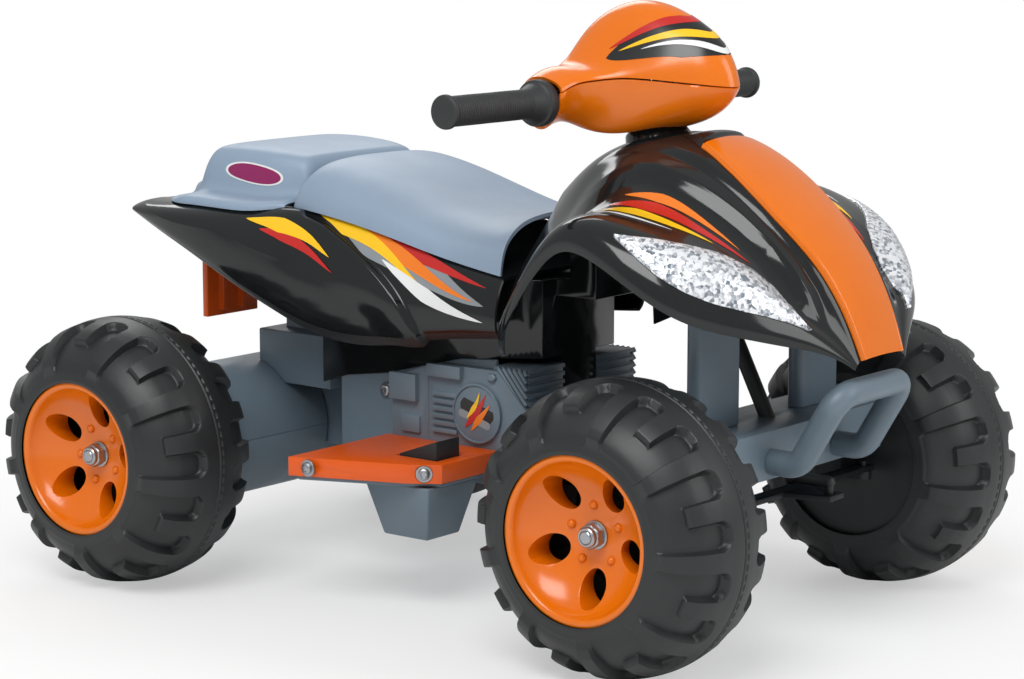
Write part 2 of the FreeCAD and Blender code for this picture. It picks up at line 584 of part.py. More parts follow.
def solid_between(outer, inner):
    """Close the space between two surfaces of like parameters into a solid."""
    faces = [outer.toShape(), inner.toShape()]
    low_u, high_u, low_v, high_v = outer.bounds()
    for u in (low_u, high_u):
        faces.append(Part.makeRuledSurface(outer.uIso(u).toShape(), inner.uIso(u).toShape()))
    for v in (low_v, high_v):
        faces.append(Part.makeRuledSurface(outer.vIso(v).toShape(), inner.vIso(v).toShape()))
    shell = Part.Shell(faces)
    shell.sewShape()
    solid = Part.Solid(shell)
    if solid.Volume < 0:
        solid.reverse()
    return solid


def skin(net, wall):
    """Make a shell of even wall under a net of points."""
    return solid_between(clamped_surface(net), clamped_surface(moved_net(net, -wall)))


def both_sides(half):
    """Mirror the points of half a section across the centre line, right side first."""
    return [Vector(x, -y, z) for x, y, z in reversed(half[1:])] + [Vector(*point) for point in half]


def shell_net(table, rear, length, half, foot, rise):
    """Lay out a shell's net from rows of shares along, across and up."""
    return [both_sides([(rear + length * along, half * across, foot + rise * up)
                        for along, across, up in points]) for points in table]


def crown_net(table, section, deck, rear, length, half, foot, rise):
    """Lay out a crowned shell's net that rests on a deck, from stations and one section of shares."""
    rows = []
    for along, width, top in table:
        x = rear + length * along
        side = half * width
        edge = max(highest(deck, x, side), highest(deck, x, side - size.shell_wall)) + size.crown_seat
        crown = foot + rise * top
        rows.append(both_sides([(x, side * across, edge + (crown - edge) * up)
                                for across, up in section]))
    return rows


def patch(surface, reach, feet, tops, lift, thick):
    """Make a thin piece that lies on part of a surface."""
    low_u, high_u, low_v, high_v = surface.bounds()
    inner = []
    outer = []
    for step, (foot, top) in enumerate(zip(feet, tops)):
        share = reach[0] + (reach[1] - reach[0]) * step / (len(feet) - 1)
        u = low_u + (high_u - low_u) * share
        inner_row = []
        outer_row = []
        for side in range(2 * DEGREE + 1):
            v = low_v + (high_v - low_v) * (foot + (top - foot) * side / (2 * DEGREE))
            normal = surface.normal(u, v)
            if normal.z < 0:
                normal = -normal
            inner_row.append(surface.value(u, v) + normal * lift)
            outer_row.append(surface.value(u, v) + normal * (lift + thick))
        inner.append(inner_row)
        outer.append(outer_row)
    surfaces = []
    for rows in (outer, inner):
        face = Part.BSplineSurface()
        face.interpolate(rows)
        surfaces.append(face)
    return solid_between(*surfaces)


def highest(surface, x, y):
    """Find the height of a surface above a place on the ground."""
    low_u, high_u, low_v, high_v = surface.bounds()
    line = Part.makeLine(Vector(x, y, 0), Vector(x, y, size.bar_height))
    hits = surface.toShape().section(line).Vertexes
    return max(vertex.Point.z for vertex in hits)


# Wheels: each is made about its own Z axis, with +Z outward, and then turned

def tyre_profile(half_width, crown, bead):
    """Give the points of a tyre's section from the outer bead over the crown to the inner bead."""
    outer = [Vector(bead + (crown - bead) * up, 0, half_width * out) for up, out in TYRE_SHARES]
    return outer + [Vector(point.x, 0, -point.z) for point in reversed(outer[:-1])]


def lug_block(points, centre, span):
    """Turn a section of a lug about the wheel's axis."""
    face = Part.Face(Part.makePolygon(points + points[:1]))
    block = face.revolve(Vector(), Vector(0, 0, 1), span)
    block.rotate(Vector(), Vector(0, 0, 1), centre - span / 2)
    return block


def tyre_shape():
    """Make a tyre with a middle band and two rows of long and short teeth."""
    crown = size.tyre_radius - size.lug_height
    outer = tyre_profile(size.tyre_half_width, crown, size.rim_radius)
    inner = tyre_profile(size.tyre_half_width - size.tyre_wall, crown - size.tyre_wall, size.rim_radius)
    curves = []
    for points in (outer, inner):
        curve = Part.BSplineCurve()
        curve.interpolate(points)
        curves.append(curve.toShape())
    ends = [Part.makeLine(outer[0], inner[0]), Part.makeLine(outer[-1], inner[-1])]
    section = Part.Face(Part.Wire(Part.__sortEdges__(curves + ends)))
    carcass = section.revolve(Vector(), Vector(0, 0, 1), 360)
    pitch = 360 / (2 * LUG_PAIRS)
    span = pitch * TOOTH_ANGLE_SHARE
    half_wall = size.tyre_wall / 2
    middle = tyre_profile(size.tyre_half_width - half_wall, crown - half_wall, size.rim_radius)
    roots = middle[:len(TYRE_SHARES) - 1]
    edge = [Vector(size.tyre_radius * up, 0, size.tyre_half_width * out) for out, up in BAND_SHARES]
    band = [Vector(point.x, 0, -point.z) for point in reversed(edge)] + edge
    band += [Vector(crown - half_wall, 0, edge[-1].z), Vector(crown - half_wall, 0, -edge[-1].z)]
    blocks = [lug_block(band, 0, 360)]
    for side in (1, -1):
        line = [Vector(size.tyre_radius * up, 0, side * size.tyre_half_width * out) for out, up in LUG_SHARES]
        feet = [Vector(point.x, 0, side * point.z) for point in roots]
        seam = Vector(crown - half_wall, 0, line[0].z)
        long_tooth = line + feet[2:] + [seam]
        short_tooth = line[:SHORT_POINTS] + feet[1 - SHORT_POINTS:] + [seam]
        first = 0 if side > 0 else pitch / 2
        for pair in range(LUG_PAIRS):
            centre = first + pair * 2 * pitch
            blocks.append(lug_block(long_tooth, centre, span))
            blocks.append(lug_block(short_tooth, centre + pitch, span))
    return carcass.multiFuse(blocks).removeSplitter()


def hub_cap_body():
    """Make the dished hub cap with its oval holes and studs."""
    body = doc.addObject("PartDesign::Body", "hub_cap")
    profile = sketch_in(body, "hub_section", "XZ_Plane")
    face = "(tyre_half_width - hub_depth)"
    bore = "axle_radius + run_gap"
    edge = "rim_radius - rest_gap"
    polygon(profile, [
        (bore, face), ("hub_flat", face), ("hub_bowl", f"{face} + hub_bowl_rise"),
        ("rim_radius - rim_lip", "tyre_half_width - rim_skirt / 2"),
        (f"{edge} - rim_lip / 2", "tyre_half_width"), (edge, "tyre_half_width - rim_skirt / 4"),
        (edge, "tyre_half_width - rim_skirt"), ("rim_radius - rim_lip", "tyre_half_width - rim_skirt"),
        ("hub_bowl", f"{face} + hub_bowl_rise - hub_wall"), ("hub_flat", f"{face} - hub_wall"),
        (bore, f"{face} - hub_wall")])
    dish = body.newObject("PartDesign::Revolution", "hub_dish")
    dish.Profile = profile
    dish.ReferenceAxis = (profile, ["V_Axis"])
    dish.Angle = 360
    doc.recompute()
    ovals = []
    studs = []
    for hole in range(HUB_HOLES):
        turn = 180 + 360 * hole / HUB_HOLES
        ring = bind(doc.addObject("Part::Ellipse", "oval"), MajorRadius="hub_hole_long",
                    MinorRadius="hub_hole_wide")
        prism = doc.addObject("Part::Extrusion", "oval_cut")
        prism.Base = ring
        prism.DirMode = "Custom"
        prism.Dir = Vector(0, 0, 1)
        prism.Solid = True
        bind(prism, LengthFwd="tyre_half_width")
        spoke = Vector(math.cos(math.radians(turn)), math.sin(math.radians(turn)))
        ring.Placement = Placement(Vector(), Rotation(Vector(0, 0, 1), turn))
        for axis, share in zip("xy", spoke):
            ring.setExpression(f"Placement.Base.{axis}", bound(f"hub_hole_place * {share:.9f}"))
        ovals.append(prism)
        half_turn = math.radians(turn + 180 / HUB_HOLES)
        stud = bind(doc.addObject("Part::Sphere", "stud"), Radius="hub_stud")
        seat(stud, f"hub_stud_place * {math.cos(half_turn):.9f}",
             f"hub_stud_place * {math.sin(half_turn):.9f}", face)
        studs.append(stud)
    return cut("hub_cap_holed", fuse("hub_cap_studded", body, *studs), *ovals)


def wheel_core_body():
    """Make the wheel's core: sleeve, web and outer band."""
    body = doc.addObject("PartDesign::Body", "wheel_core")
    profile = sketch_in(body, "core_section", "XZ_Plane")
    bore = "axle_radius + run_gap"
    back = "-tyre_half_width * 0.95"
    edge = "rim_radius - rest_gap"
    polygon(profile, [
        (bore, back), (edge, back), (edge, f"{back} + core_band"),
        ("rim_radius - core_web", f"{back} + core_band"), ("rim_radius - core_web", f"{back} + core_web"),
        ("core_sleeve", f"{back} + core_web"),
        ("core_sleeve", "tyre_half_width - hub_depth - hub_wall"),
        (bore, "tyre_half_width - hub_depth - hub_wall")])
    turned = body.newObject("PartDesign::Revolution", "core_turned")
    turned.Profile = profile
    turned.ReferenceAxis = (profile, ["V_Axis"])
    turned.Angle = 360
    return body


def axle_nut(name, inner):
    """Make an axle nut on its washer, along Z from a formula."""
    corner = "nut_flats / 1.7320508"
    hexagon = [(f"({corner}) * {math.cos(math.radians(60 * step)):.9f}",
                f"({corner}) * {math.sin(math.radians(60 * step)):.9f}") for step in range(6)]
    nut = plate(f"{name}_hex", hexagon, "nut_height", [("0", "0", "axle_radius")],
                ("0", "0", f"{inner} + washer_thick"))
    disc = rod_along_z(f"{name}_disc", "washer_radius", inner, f"{inner} + washer_thick", "0", "0")
    hole = rod_along_z(f"{name}_hole", "axle_radius", f"{inner} - overrun", f"{inner} + overrun", "0", "0")
    return fuse(name, nut, cut(f"{name}_washer", disc, hole))


def wheel_place(corner, side):
    """Give a wheel's placement from its end and side of the vehicle."""
    x = size.wheelbase / 2 if corner == "front" else -size.wheelbase / 2
    y = size.front_plane if corner == "front" else size.rear_plane
    if side == "right":
        return Placement(Vector(x, -y, size.tyre_radius), TURN_TO_RIGHT)
    return Placement(Vector(x, y, size.tyre_radius), TURN_TO_LEFT)


def wheel_turn(angle, side):
    """Turn a wheel's piece about its own axis, alike on both sides."""
    return Placement(Vector(), Rotation(Vector(0, 0, 1), angle if side == "right" else -angle))


def wheels():
    """Make the four wheels and the axle nuts."""
    hub = hub_cap_body()
    core = wheel_core_body()
    nut = axle_nut("axle_nut", "(tyre_half_width - hub_depth + rest_gap)")
    doc.recompute()
    tyre = tyre_shape()
    for corner in ("front", "rear"):
        for side in ("right", "left"):
            place = wheel_place(corner, side)
            tyre_place = place.multiply(wheel_turn(TYRE_TURNS[corner], side))
            hub_place = place.multiply(wheel_turn(HUB_TURNS[corner], side))
            node(feature(f"tyre_{corner}_{side}", tyre.copy(), tyre_place), f"tyre_{corner}_{side}")
            node(feature(f"hub_cap_{corner}_{side}", hub.Shape.copy(), hub_place), f"hub_cap_{corner}_{side}")
            node(feature(f"hub_core_{corner}_{side}", core.Shape.copy(), place), f"hub_core_{corner}_{side}")
            if corner == "front":
                node(feature(f"axle_nut_front_{side}", nut.Shape.copy(), place), f"axle_nut_front_{side}")
    pair = [feature(f"axle_nut_rear_{side}", nut.Shape.copy(), wheel_place("rear", side))
            for side in ("right", "left")]
    node(group("axle_nuts_rear", *pair), "axle_nuts_rear")


# Steering

def steering_axis(height):
    """Give the point of the steering axis at a height."""
    lean = math.tan(math.radians(size.rake))
    return Vector(size.wheelbase / 2 + size.steer_foot - (height - size.beam_top) * lean, 0, height)


def steering_up():
    """Give the direction of the steering axis."""
    return Vector(-math.sin(math.radians(size.rake)), 0, math.cos(math.radians(size.rake)))


def tie_level():
    """Give the height of the tie rod's middle."""
    return size.knuckle_foot + size.arm_thick + size.rest_gap + size.tie_thick / 2


def crank_pin():
    """Give the place of the crank's pin in the tie rod."""
    forward = Vector(math.cos(math.radians(size.rake)), 0, math.sin(math.radians(size.rake)))
    return steering_axis(tie_level() - size.steer_arm * forward.z) + forward * size.steer_arm


def rod_between(start, end, radius):
    """Make a round rod between two points."""
    return Part.makeCylinder(radius, start.distanceToPoint(end), start, end - start)


def steering_shaft():
    """Make the steering shaft with the crank at its foot."""
    pin = crank_pin()
    elbow = pin + Vector(0, 0, size.crank_rise)
    foot = steering_axis(tie_level() + size.crank_rise)
    top = steering_axis(size.bar_height)
    tip = pin - Vector(0, 0, size.tie_thick)
    shape = rod_between(foot, top, size.shaft_radius)
    shape = shape.fuse(Part.makeSphere(size.shaft_radius, foot))
    shape = shape.fuse(rod_between(foot, elbow, size.crank_radius))
    shape = shape.fuse(Part.makeSphere(size.crank_radius, elbow))
    return shape.fuse(rod_between(elbow, tip, size.tie_pin)).removeSplitter()


def knuckle(side):
    """Make a knuckle with its kingpin, stub axle, arm and pin."""
    sign = -1 if side == "right" else 1
    axle = "wheelbase / 2"

    def across(low, high):
        return (f"-({high})", f"-({low})") if sign < 0 else (low, high)

    name = f"knuckle_{side}"
    inner = "kingpin_plane - knuckle_width / 2"
    outer = "kingpin_plane + knuckle_width / 2"
    core_back = "front_plane - tyre_half_width * 0.95 - rest_gap"
    middle = f"{'-' if sign < 0 else ''}kingpin_plane"
    block = box(f"{name}_block", (f"{axle} - knuckle_length / 2", f"{axle} + knuckle_length / 2"),
                across(inner, outer), ("knuckle_foot", "knuckle_top"))
    pin = rod_along_z(f"{name}_pin", "kingpin_radius", "knuckle_top - overrun", "beam_top + kingpin_head",
                      axle, middle)
    collar = rod_along_y(f"{name}_collar", "core_sleeve", *across("kingpin_plane", core_back),
                         axle, "tyre_radius")
    stub_end = "front_plane + tyre_half_width - hub_depth + nut_height + washer_thick + rest_gap * 3"
    stub = rod_along_y(f"{name}_stub", "axle_radius", *across("kingpin_plane", stub_end), axle, "tyre_radius")
    arm = box(f"{name}_arm", (axle, f"{axle} + steer_arm"),
              across("kingpin_plane - arm_width / 2", "kingpin_plane + arm_width / 2"),
              ("knuckle_foot", "knuckle_foot + arm_thick"))
    eye = rod_along_z(f"{name}_eye", "arm_width / 2", "knuckle_foot", "knuckle_foot + arm_thick",
                      f"{axle} + steer_arm", middle)
    tie = rod_along_z(f"{name}_tie", "tie_pin", "knuckle_foot", "knuckle_foot + arm_thick + tie_thick * 2",
                      f"{axle} + steer_arm", middle)
    node(fuse(name, block, pin, collar, stub, arm, eye, tie), name)


def tie_rod():
    """Make the flat tie rod with a tab that the crank moves."""
    axle = "wheelbase / 2 + steer_arm"
    pin = crank_pin()
    reach = "kingpin_plane + tie_width / 2"
    tab = f"({pin.x:.6f} - wheelbase / 2 - steer_arm + tie_width / 2)"
    outline = [("-tie_width / 2", f"-({reach})"), ("tie_width / 2", f"-({reach})"),
               ("tie_width / 2", "-tie_width * 1.4"), (tab, "-tie_width * 0.7"), (tab, "tie_width * 0.7"),
               ("tie_width / 2", "tie_width * 1.4"), ("tie_width / 2", reach), ("-tie_width / 2", reach)]
    holes = [("0", "-kingpin_plane", "tie_pin + run_gap"), ("0", "kingpin_plane", "tie_pin + tie_play"),
             (f"{pin.x:.6f} - wheelbase / 2 - steer_arm", "0", "tie_pin + tie_play")]
    body = plate("tie_rod", outline, "tie_thick", holes,
                 (axle, "0", "knuckle_foot + arm_thick + rest_gap"))
    node(body, "tie_rod")


def front_beam():
    """Make the channel beam with bosses for the kingpins and the steering shaft."""
    axle = "wheelbase / 2"
    length = ("wheelbase / 2 - beam_rear", "wheelbase / 2 + beam_front")
    shell = box("beam_outer", length, ("-beam_half", "beam_half"), ("beam_foot", "beam_top"))
    hollow = box("beam_hollow", (f"{length[0]} + beam_wall", f"{length[1]} - beam_wall"),
                 ("beam_wall - beam_half", "beam_half - beam_wall"),
                 ("beam_foot - overrun", "beam_top - beam_wall"))
    bosses = []
    bores = []
    for name, middle in (("right", "-kingpin_plane"), ("left", "kingpin_plane")):
        bosses.append(rod_along_z(f"beam_boss_{name}", "boss_radius", "beam_foot", "beam_top", axle, middle))
        bores.append(rod_along_z(f"beam_bore_{name}", "kingpin_radius + run_gap", "beam_foot - overrun",
                                 "beam_top + overrun", axle, middle))
    up = steering_up()
    low = steering_axis(size.beam_foot - size.overrun * 2)
    high = steering_axis(size.beam_top + size.overrun * 2)
    sleeve = feature("beam_sleeve", rod_between(low, high, size.boss_radius))
    collar = common("beam_collar", sleeve, box("beam_block", length, ("-beam_half", "beam_half"),
                                               ("beam_foot", "beam_top")))
    bores.append(feature("beam_shaft_bore", rod_between(low, low + up * low.distanceToPoint(high),
                                                        size.shaft_radius + size.run_gap)))
    whole = fuse("beam_whole", cut("beam_channel", shell, hollow), collar, *bosses)
    node(cut("front_beam", whole, *bores), "front_beam")


def bumper():
    """Make the bumper's hoop from one bent tube."""
    beam_front = size.wheelbase / 2 + size.beam_front
    corners = [Vector(beam_front, -size.bumper_half, size.bumper_foot),
               Vector(size.bumper_knee, -size.bumper_half, size.bumper_foot),
               Vector(size.bumper_front, -size.bumper_half, size.bumper_top),
               Vector(size.bumper_front, size.bumper_half, size.bumper_top),
               Vector(size.bumper_knee, size.bumper_half, size.bumper_foot),
               Vector(beam_front, size.bumper_half, size.bumper_foot)]
    edges = []
    start = corners[0]
    for before, corner, after in zip(corners, corners[1:], corners[2:]):
        back = (before - corner).normalize()
        ahead = (after - corner).normalize()
        half = back.getAngle(ahead) / 2
        reach = size.bumper_bend / math.tan(half)
        centre = corner + (back + ahead).normalize() * (size.bumper_bend / math.sin(half))
        middle = centre + (corner - centre).normalize() * size.bumper_bend
        edges.append(Part.makeLine(start, corner + back * reach))
        edges.append(Part.Arc(corner + back * reach, middle, corner + ahead * reach).toShape())
        start = corner + ahead * reach
    edges.append(Part.makeLine(start, corners[-1]))
    path = Part.Wire(edges)
    ring = Part.Wire(Part.makeCircle(size.bumper_radius, corners[0], Vector(1, 0, 0)))
    node(feature("bumper", path.makePipeShell([ring], True, True)), "bumper")


# Body shells

def fairing_net():
    """Lay out the net of the front fairing."""
    return shell_net(FAIRING_SHARES, size.fairing_rear, size.fairing_length, size.fairing_half,
                     size.fairing_foot, size.fairing_rise)


def body_net():
    """Lay out the net of the rear body."""
    rows = [[(along, across, up) for across, up in points] for along, points in BODY_SHARES]
    return shell_net(rows, -size.body_rear, size.body_length, size.body_half, size.body_foot, size.body_rise)


def fairing_parts():
    """Make the fairing, its stripe, headlights, bracket, posts and the column's cover."""
    net = fairing_net()
    surface = clamped_surface(net)
    under = clamped_surface(moved_net(net, -size.shell_wall))
    low = steering_axis(size.boot_low)
    boot = Part.makeCone(size.boot_foot, size.boot_head, size.boot_height, low, steering_up())
    bore = Part.makeCylinder(size.shaft_radius + size.run_gap, size.boot_height, low, steering_up())
    node(feature("column_cover", boot.cut(bore)), "column_cover")
    node(feature("front_fairing", skin(net, size.shell_wall).cut(boot)), "front_fairing")
    widths = STRIPE_WIDTH_SHARES
    node(feature("hood_stripe", patch(surface, STRIPE_SHARES, [0.5 - share for share in widths],
                                      [0.5 + share for share in widths], size.trim_lift, size.trim_thick)),
         "hood_stripe")
    light = patch(surface, LIGHT_SHARES, LIGHT_FOOT_SHARES, LIGHT_TOP_SHARES, size.trim_lift, size.trim_thick)
    right = feature("headlight_right", light)
    node(right, "headlight_right")
    node(mirrored("headlight_left", right), "headlight_left")
    posts(under)


def posts(under):
    """Make the two posts between the beam and the fairing."""
    face = size.wheelbase / 2 + size.post_face
    top = min(highest(under, x, -y) for x in (face, face - size.post_thick)
              for y in (size.post_inner, (size.post_inner + size.post_outer) / 2, size.post_outer))
    length = ("wheelbase / 2 + post_face - post_thick", "wheelbase / 2 + post_face")
    solid = box("post_block", length, ("-post_outer", "-post_inner"),
                ("beam_top", f"{top:.6f} - rest_gap"))
    doc.recompute()
    post = doc.addObject("Part::Fillet", "post_right")
    post.Base = solid
    upright = [index for index, edge in enumerate(solid.Shape.Edges, start=1)
               if edge.tangentAt(edge.FirstParameter).cross(Vector(0, 0, 1)).Length < 0.5]
    post.Edges = [(index, size.post_round, size.post_round) for index in upright]
    node(post, "post_right")
    node(mirrored("post_left", post), "post_left")


def fairing_bracket():
    """Make the bracket on the main frame that carries the fairing's middle."""
    under = clamped_surface(moved_net(fairing_net(), -size.shell_wall))
    front = size.bracket_front
    rear = front - size.bracket_length
    half = size.bracket_half
    drop = size.frame_seat
    tops = [min(highest(under, x, 0), highest(under, x, half)) - drop for x in (rear, front)]
    root = size.frame_front - size.frame_wall
    outline = [(root, size.bracket_foot), (front, size.bracket_foot), (front, tops[1]), (rear, tops[0]),
               (rear, size.frame_front_top), (root, size.frame_front_top)]
    points = [Vector(x, -half, z) for x, z in outline]
    block = Part.Face(Part.makePolygon(points + points[:1])).extrude(Vector(0, 2 * half, 0))
    wall = size.bracket_wall
    core = Part.makeBox(size.bracket_length - 2 * wall, 2 * (half - wall), size.fairing_rise,
                        Vector(rear + wall, wall - half, size.bracket_foot + wall))
    return block.cut(core)


def rear_parts():
    """Make the rear body, the tail cowl, the saddle and the mud flap."""
    net = body_net()
    under = clamped_surface(moved_net(net, -size.shell_wall))
    node(feature("rear_body", skin(net, size.shell_wall)), "rear_body")
    deck = clamped_surface(net)
    cowl = crown_net(COWL_SHARES, COWL_SECTION_SHARES, deck, -size.cowl_rear, size.cowl_length,
                     size.cowl_half, size.cowl_foot, size.cowl_rise)
    node(feature("tail_cowl", skin(cowl, size.shell_wall)), "tail_cowl")
    saddle = crown_net(SADDLE_SHARES, SADDLE_SECTION_SHARES, deck, -size.saddle_rear, size.saddle_length,
                       size.saddle_half, size.saddle_foot, size.saddle_rise)
    node(feature("saddle", skin(saddle, size.shell_wall)), "saddle")
    main_frame(under)
    rear_tower(under)
    mud_flap(under)


def mud_flap(under):
    """Make the two-lobed mud flap with upright ribs."""
    top = min(highest(under, -size.flap_place - size.flap_thick, y) for y in (0.0, size.flap_half))
    rise = f"({top:.6f} - flap_seat)"
    outline = [("-flap_half", "flap_foot"), ("-flap_slot", "flap_foot"), ("-flap_slot", "flap_waist"),
               ("flap_slot", "flap_waist"), ("flap_slot", "flap_foot"), ("flap_half", "flap_foot"),
               ("flap_half", rise), ("-flap_half", rise)]
    turn = Rotation(Vector(0, 1, 0), 90).multiply(Rotation(Vector(0, 0, 1), 90))
    place = ("-flap_place - flap_thick", "0", "0")
    sheet_part = plate("mud_flap_sheet", outline, "flap_thick", (), place, turn)
    ribs = []
    for name, share in (("a", -0.80), ("b", -0.52), ("c", 0.52), ("d", 0.80)):
        ribs.append(box(f"mud_flap_rib_{name}", ("-flap_place", "flap_rib - flap_place"),
                        (f"flap_half * {share} - flap_rib / 2", f"flap_half * {share} + flap_rib / 2"),
                        ("flap_foot + flap_rib", "flap_waist")))
    node(fuse("mud_flap", sheet_part, *ribs), "mud_flap")


# Chassis

def frame_foot():
    """Give the lower line of the main frame from its rear end to its front end."""
    length = size.frame_rear + size.frame_front
    return [(length * along - size.frame_rear, size.frame_foot_low + size.frame_foot_rise * up)
            for along, up in FRAME_FOOT_SHARES]


def frame_foot_at(x):
    """Give the height of the main frame's lower line at a place along it."""
    line = frame_foot()
    for (start, low), (end, high) in zip(line, line[1:]):
        if start <= x <= end:
            return low + (high - low) * (x - start) / (end - start)
    return line[-1][1]


def frame_plan(inset):
    """Make a tall block of the main frame's plan, drawn in by an inset."""
    half = size.frame_half - inset
    nose = size.frame_nose - inset
    front = size.frame_front - inset
    corners = [(inset - size.frame_rear, -half), (size.frame_taper, -half), (front, -nose), (front, nose),
               (size.frame_taper, half), (inset - size.frame_rear, half)]
    points = [Vector(x, y, 0) for x, y in corners]
    return Part.Face(Part.makePolygon(points + points[:1])).extrude(Vector(0, 0, size.bar_height))


def side_block(outline, half):
    """Make a block from a side view, as wide as two halves."""
    points = [Vector(x, -half, z) for x, z in outline]
    return Part.Face(Part.makePolygon(points + points[:1])).extrude(Vector(0, 2 * half, 0))


def deck_line(under):
    """Give the underside of the rear body's deck along the main frame."""
    stops = [-size.frame_rear, -size.body_rear + size.body_length * BODY_SHARES[5][0],
             -size.body_rear + size.body_length * BODY_SHARES[6][0],
             -size.body_rear + size.body_length * BODY_SHARES[7][0],
             -size.body_rear + size.body_length - size.frame_wall]
    return [(x, highest(under, x, 0.0) - size.frame_seat) for x in stops]


def main_frame(under):
    """Make the black main frame that carries the rear body's deck."""
    deck = deck_line(under)
    top = deck + [(deck[-1][0], size.frame_front_top), (size.frame_front, size.frame_front_top)]
    outer = side_block(frame_foot() + top[::-1], size.frame_half).common(frame_plan(0.0))
    wall = size.frame_wall
    room_top = [(x, z - wall) for x, z in top]
    room_foot = [(x, z - size.overrun * wall) for x, z in frame_foot()]
    frame = outer.cut(side_block(room_foot + room_top[::-1], size.frame_half).common(frame_plan(wall)))
    leg = Part.makeBox(size.frame_leg, 2 * size.frame_leg_half, size.frame_front_top - size.rail_top - wall,
                       Vector(size.frame_front - size.frame_leg, -size.frame_leg_half, size.rail_top))
    frame = frame.fuse(leg)
    slot = Part.makeBox(size.rocker_length + 2 * size.rest_gap, size.overrun * 2,
                        size.rocker_width + size.bezel_rim + 2 * size.rest_gap,
                        Vector(size.rocker_place - size.rocker_length / 2 - size.rest_gap,
                               size.frame_half - size.overrun,
                               size.rocker_height - (size.rocker_width + size.bezel_rim) / 2 - size.rest_gap))
    node(feature("main_frame", frame.cut(slot).fuse(fairing_bracket())), "main_frame")


def tub():
    """Make the grey tub with the rail that reaches the front beam."""
    beam_rear = size.wheelbase / 2 - size.beam_rear
    wall = size.tub_wall
    rear = -size.tub_rear
    top = [(rear, frame_foot_at(rear))]
    top += [(x, z) for x, z in frame_foot() if rear < x < size.rail_rear]
    top += [(size.rail_rear, frame_foot_at(size.rail_rear)), (size.rail_rear, size.rail_top),
            (beam_rear, size.rail_top)]
    outline = top + [(beam_rear, size.rail_foot), (size.rail_knee, size.tub_foot), (rear, size.tub_foot)]
    room = [(rear + wall, size.tub_foot + wall), (size.rail_knee, size.tub_foot + wall),
            (beam_rear - wall, size.rail_foot + wall), (beam_rear - wall, size.rail_top - wall),
            (size.rail_rear, size.rail_top - wall), (size.rail_rear, size.bar_height),
            (rear + wall, size.bar_height)]
    shape = side_block(outline, size.tub_half).cut(side_block(room, size.tub_half - wall))
    axle = -size.wheelbase / 2
    tongue = Part.makeBox(rear - axle, 2 * size.tongue_half, size.tongue_top - size.tub_foot,
                          Vector(axle, -size.tongue_half, size.tub_foot))
    neck = Part.makeCylinder(size.drum_neck + size.rest_gap, 2 * size.drum_end,
                             Vector(axle, -size.drum_end, size.tyre_radius), Vector(0, 1, 0))
    node(feature("chassis_tub", shape.fuse(tongue.cut(neck))), "chassis_tub")


def rear_tower(under):
    """Make the tower between the axle housing and the rear body's deck."""
    rear = -size.tower_rear
    front = -size.frame_rear
    back = -size.tower_neck_rear
    half = size.tower_half
    slim = size.tower_neck_half
    top = min(highest(under, x, y) for x in (back, front) for y in (0.0, slim)) - size.frame_seat
    wall = size.tower_wall
    foot = Part.makeBox(front - rear, 2 * half, size.tower_waist - size.tower_foot,
                        Vector(rear, -half, size.tower_foot))
    neck = Part.makeBox(front - back, 2 * slim, top - size.tower_waist, Vector(back, -slim, size.tower_waist))
    foot_room = Part.makeBox(front - rear - 2 * wall, 2 * (half - wall), size.tower_waist - wall,
                             Vector(rear + wall, wall - half, 0))
    neck_room = Part.makeBox(front - back - 2 * wall, 2 * (slim - wall), size.bar_height,
                             Vector(back + wall, wall - slim, 0))
    drum = Part.makeCylinder(size.drum_radius, 2 * size.drum_end,
                             Vector(-size.wheelbase / 2, -size.drum_end, size.tyre_radius), Vector(0, 1, 0))
    tower = foot.fuse(neck).cut(foot_room).cut(neck_room).cut(drum)
    node(feature("rear_tower", tower.removeSplitter()), "rear_tower")


def axle_housing():
    """Make the two halves of the rear axle housing."""
    x = "-wheelbase / 2"
    z = "tyre_radius"
    solids = [rod_along_y("drum_right", "drum_radius", "-drum_end", "-drum_inner", x, z),
              rod_along_y("drum_left", "drum_radius", "drum_inner", "drum_end", x, z),
              rod_along_y("drum_middle", "drum_neck", "-drum_inner", "drum_inner", x, z)]
    rooms = [rod_along_y("room_right", "drum_radius - drum_wall", "drum_wall - drum_end",
                         "-drum_inner - drum_wall", x, z),
             rod_along_y("room_left", "drum_radius - drum_wall", "drum_inner + drum_wall",
                         "drum_end - drum_wall", x, z),
             rod_along_y("room_middle", "drum_neck - drum_wall", "-drum_inner + drum_wall / 2",
                         "drum_inner - drum_wall / 2", x, z),
             rod_along_y("room_dog", "dog_radius + rest_gap * 4", "-drum_end - overrun",
                         "overrun - drum_end", x, z),
             rod_along_y("room_axle", "axle_radius", "-drum_end - overrun", "drum_end + overrun", x, z)]
    whole = cut("axle_housing", fuse("axle_housing_solid", *solids), *rooms)
    span = (f"{x} - drum_radius * 2", f"{x} + drum_radius * 2")
    wide = ("-drum_end * 2", "drum_end * 2")
    doc.recompute()
    upper = box("housing_upper_half", span, wide, (z, f"{z} + drum_radius * 2"))
    lower = box("housing_lower_half", span, wide, (f"{z} - drum_radius * 2", z))
    node(common("axle_housing_upper", whole, upper), "axle_housing_upper")
    node(common("axle_housing_lower", whole, lower), "axle_housing_lower")
    end = "rear_plane + tyre_half_width - hub_depth + nut_height + washer_thick + rest_gap * 3"
    node(rod_along_y("rear_axle", "axle_radius", f"-({end})", end, x, z), "rear_axle")


def involute(angle):
    """Give the involute function of an angle in radians."""
    return math.tan(angle) - angle


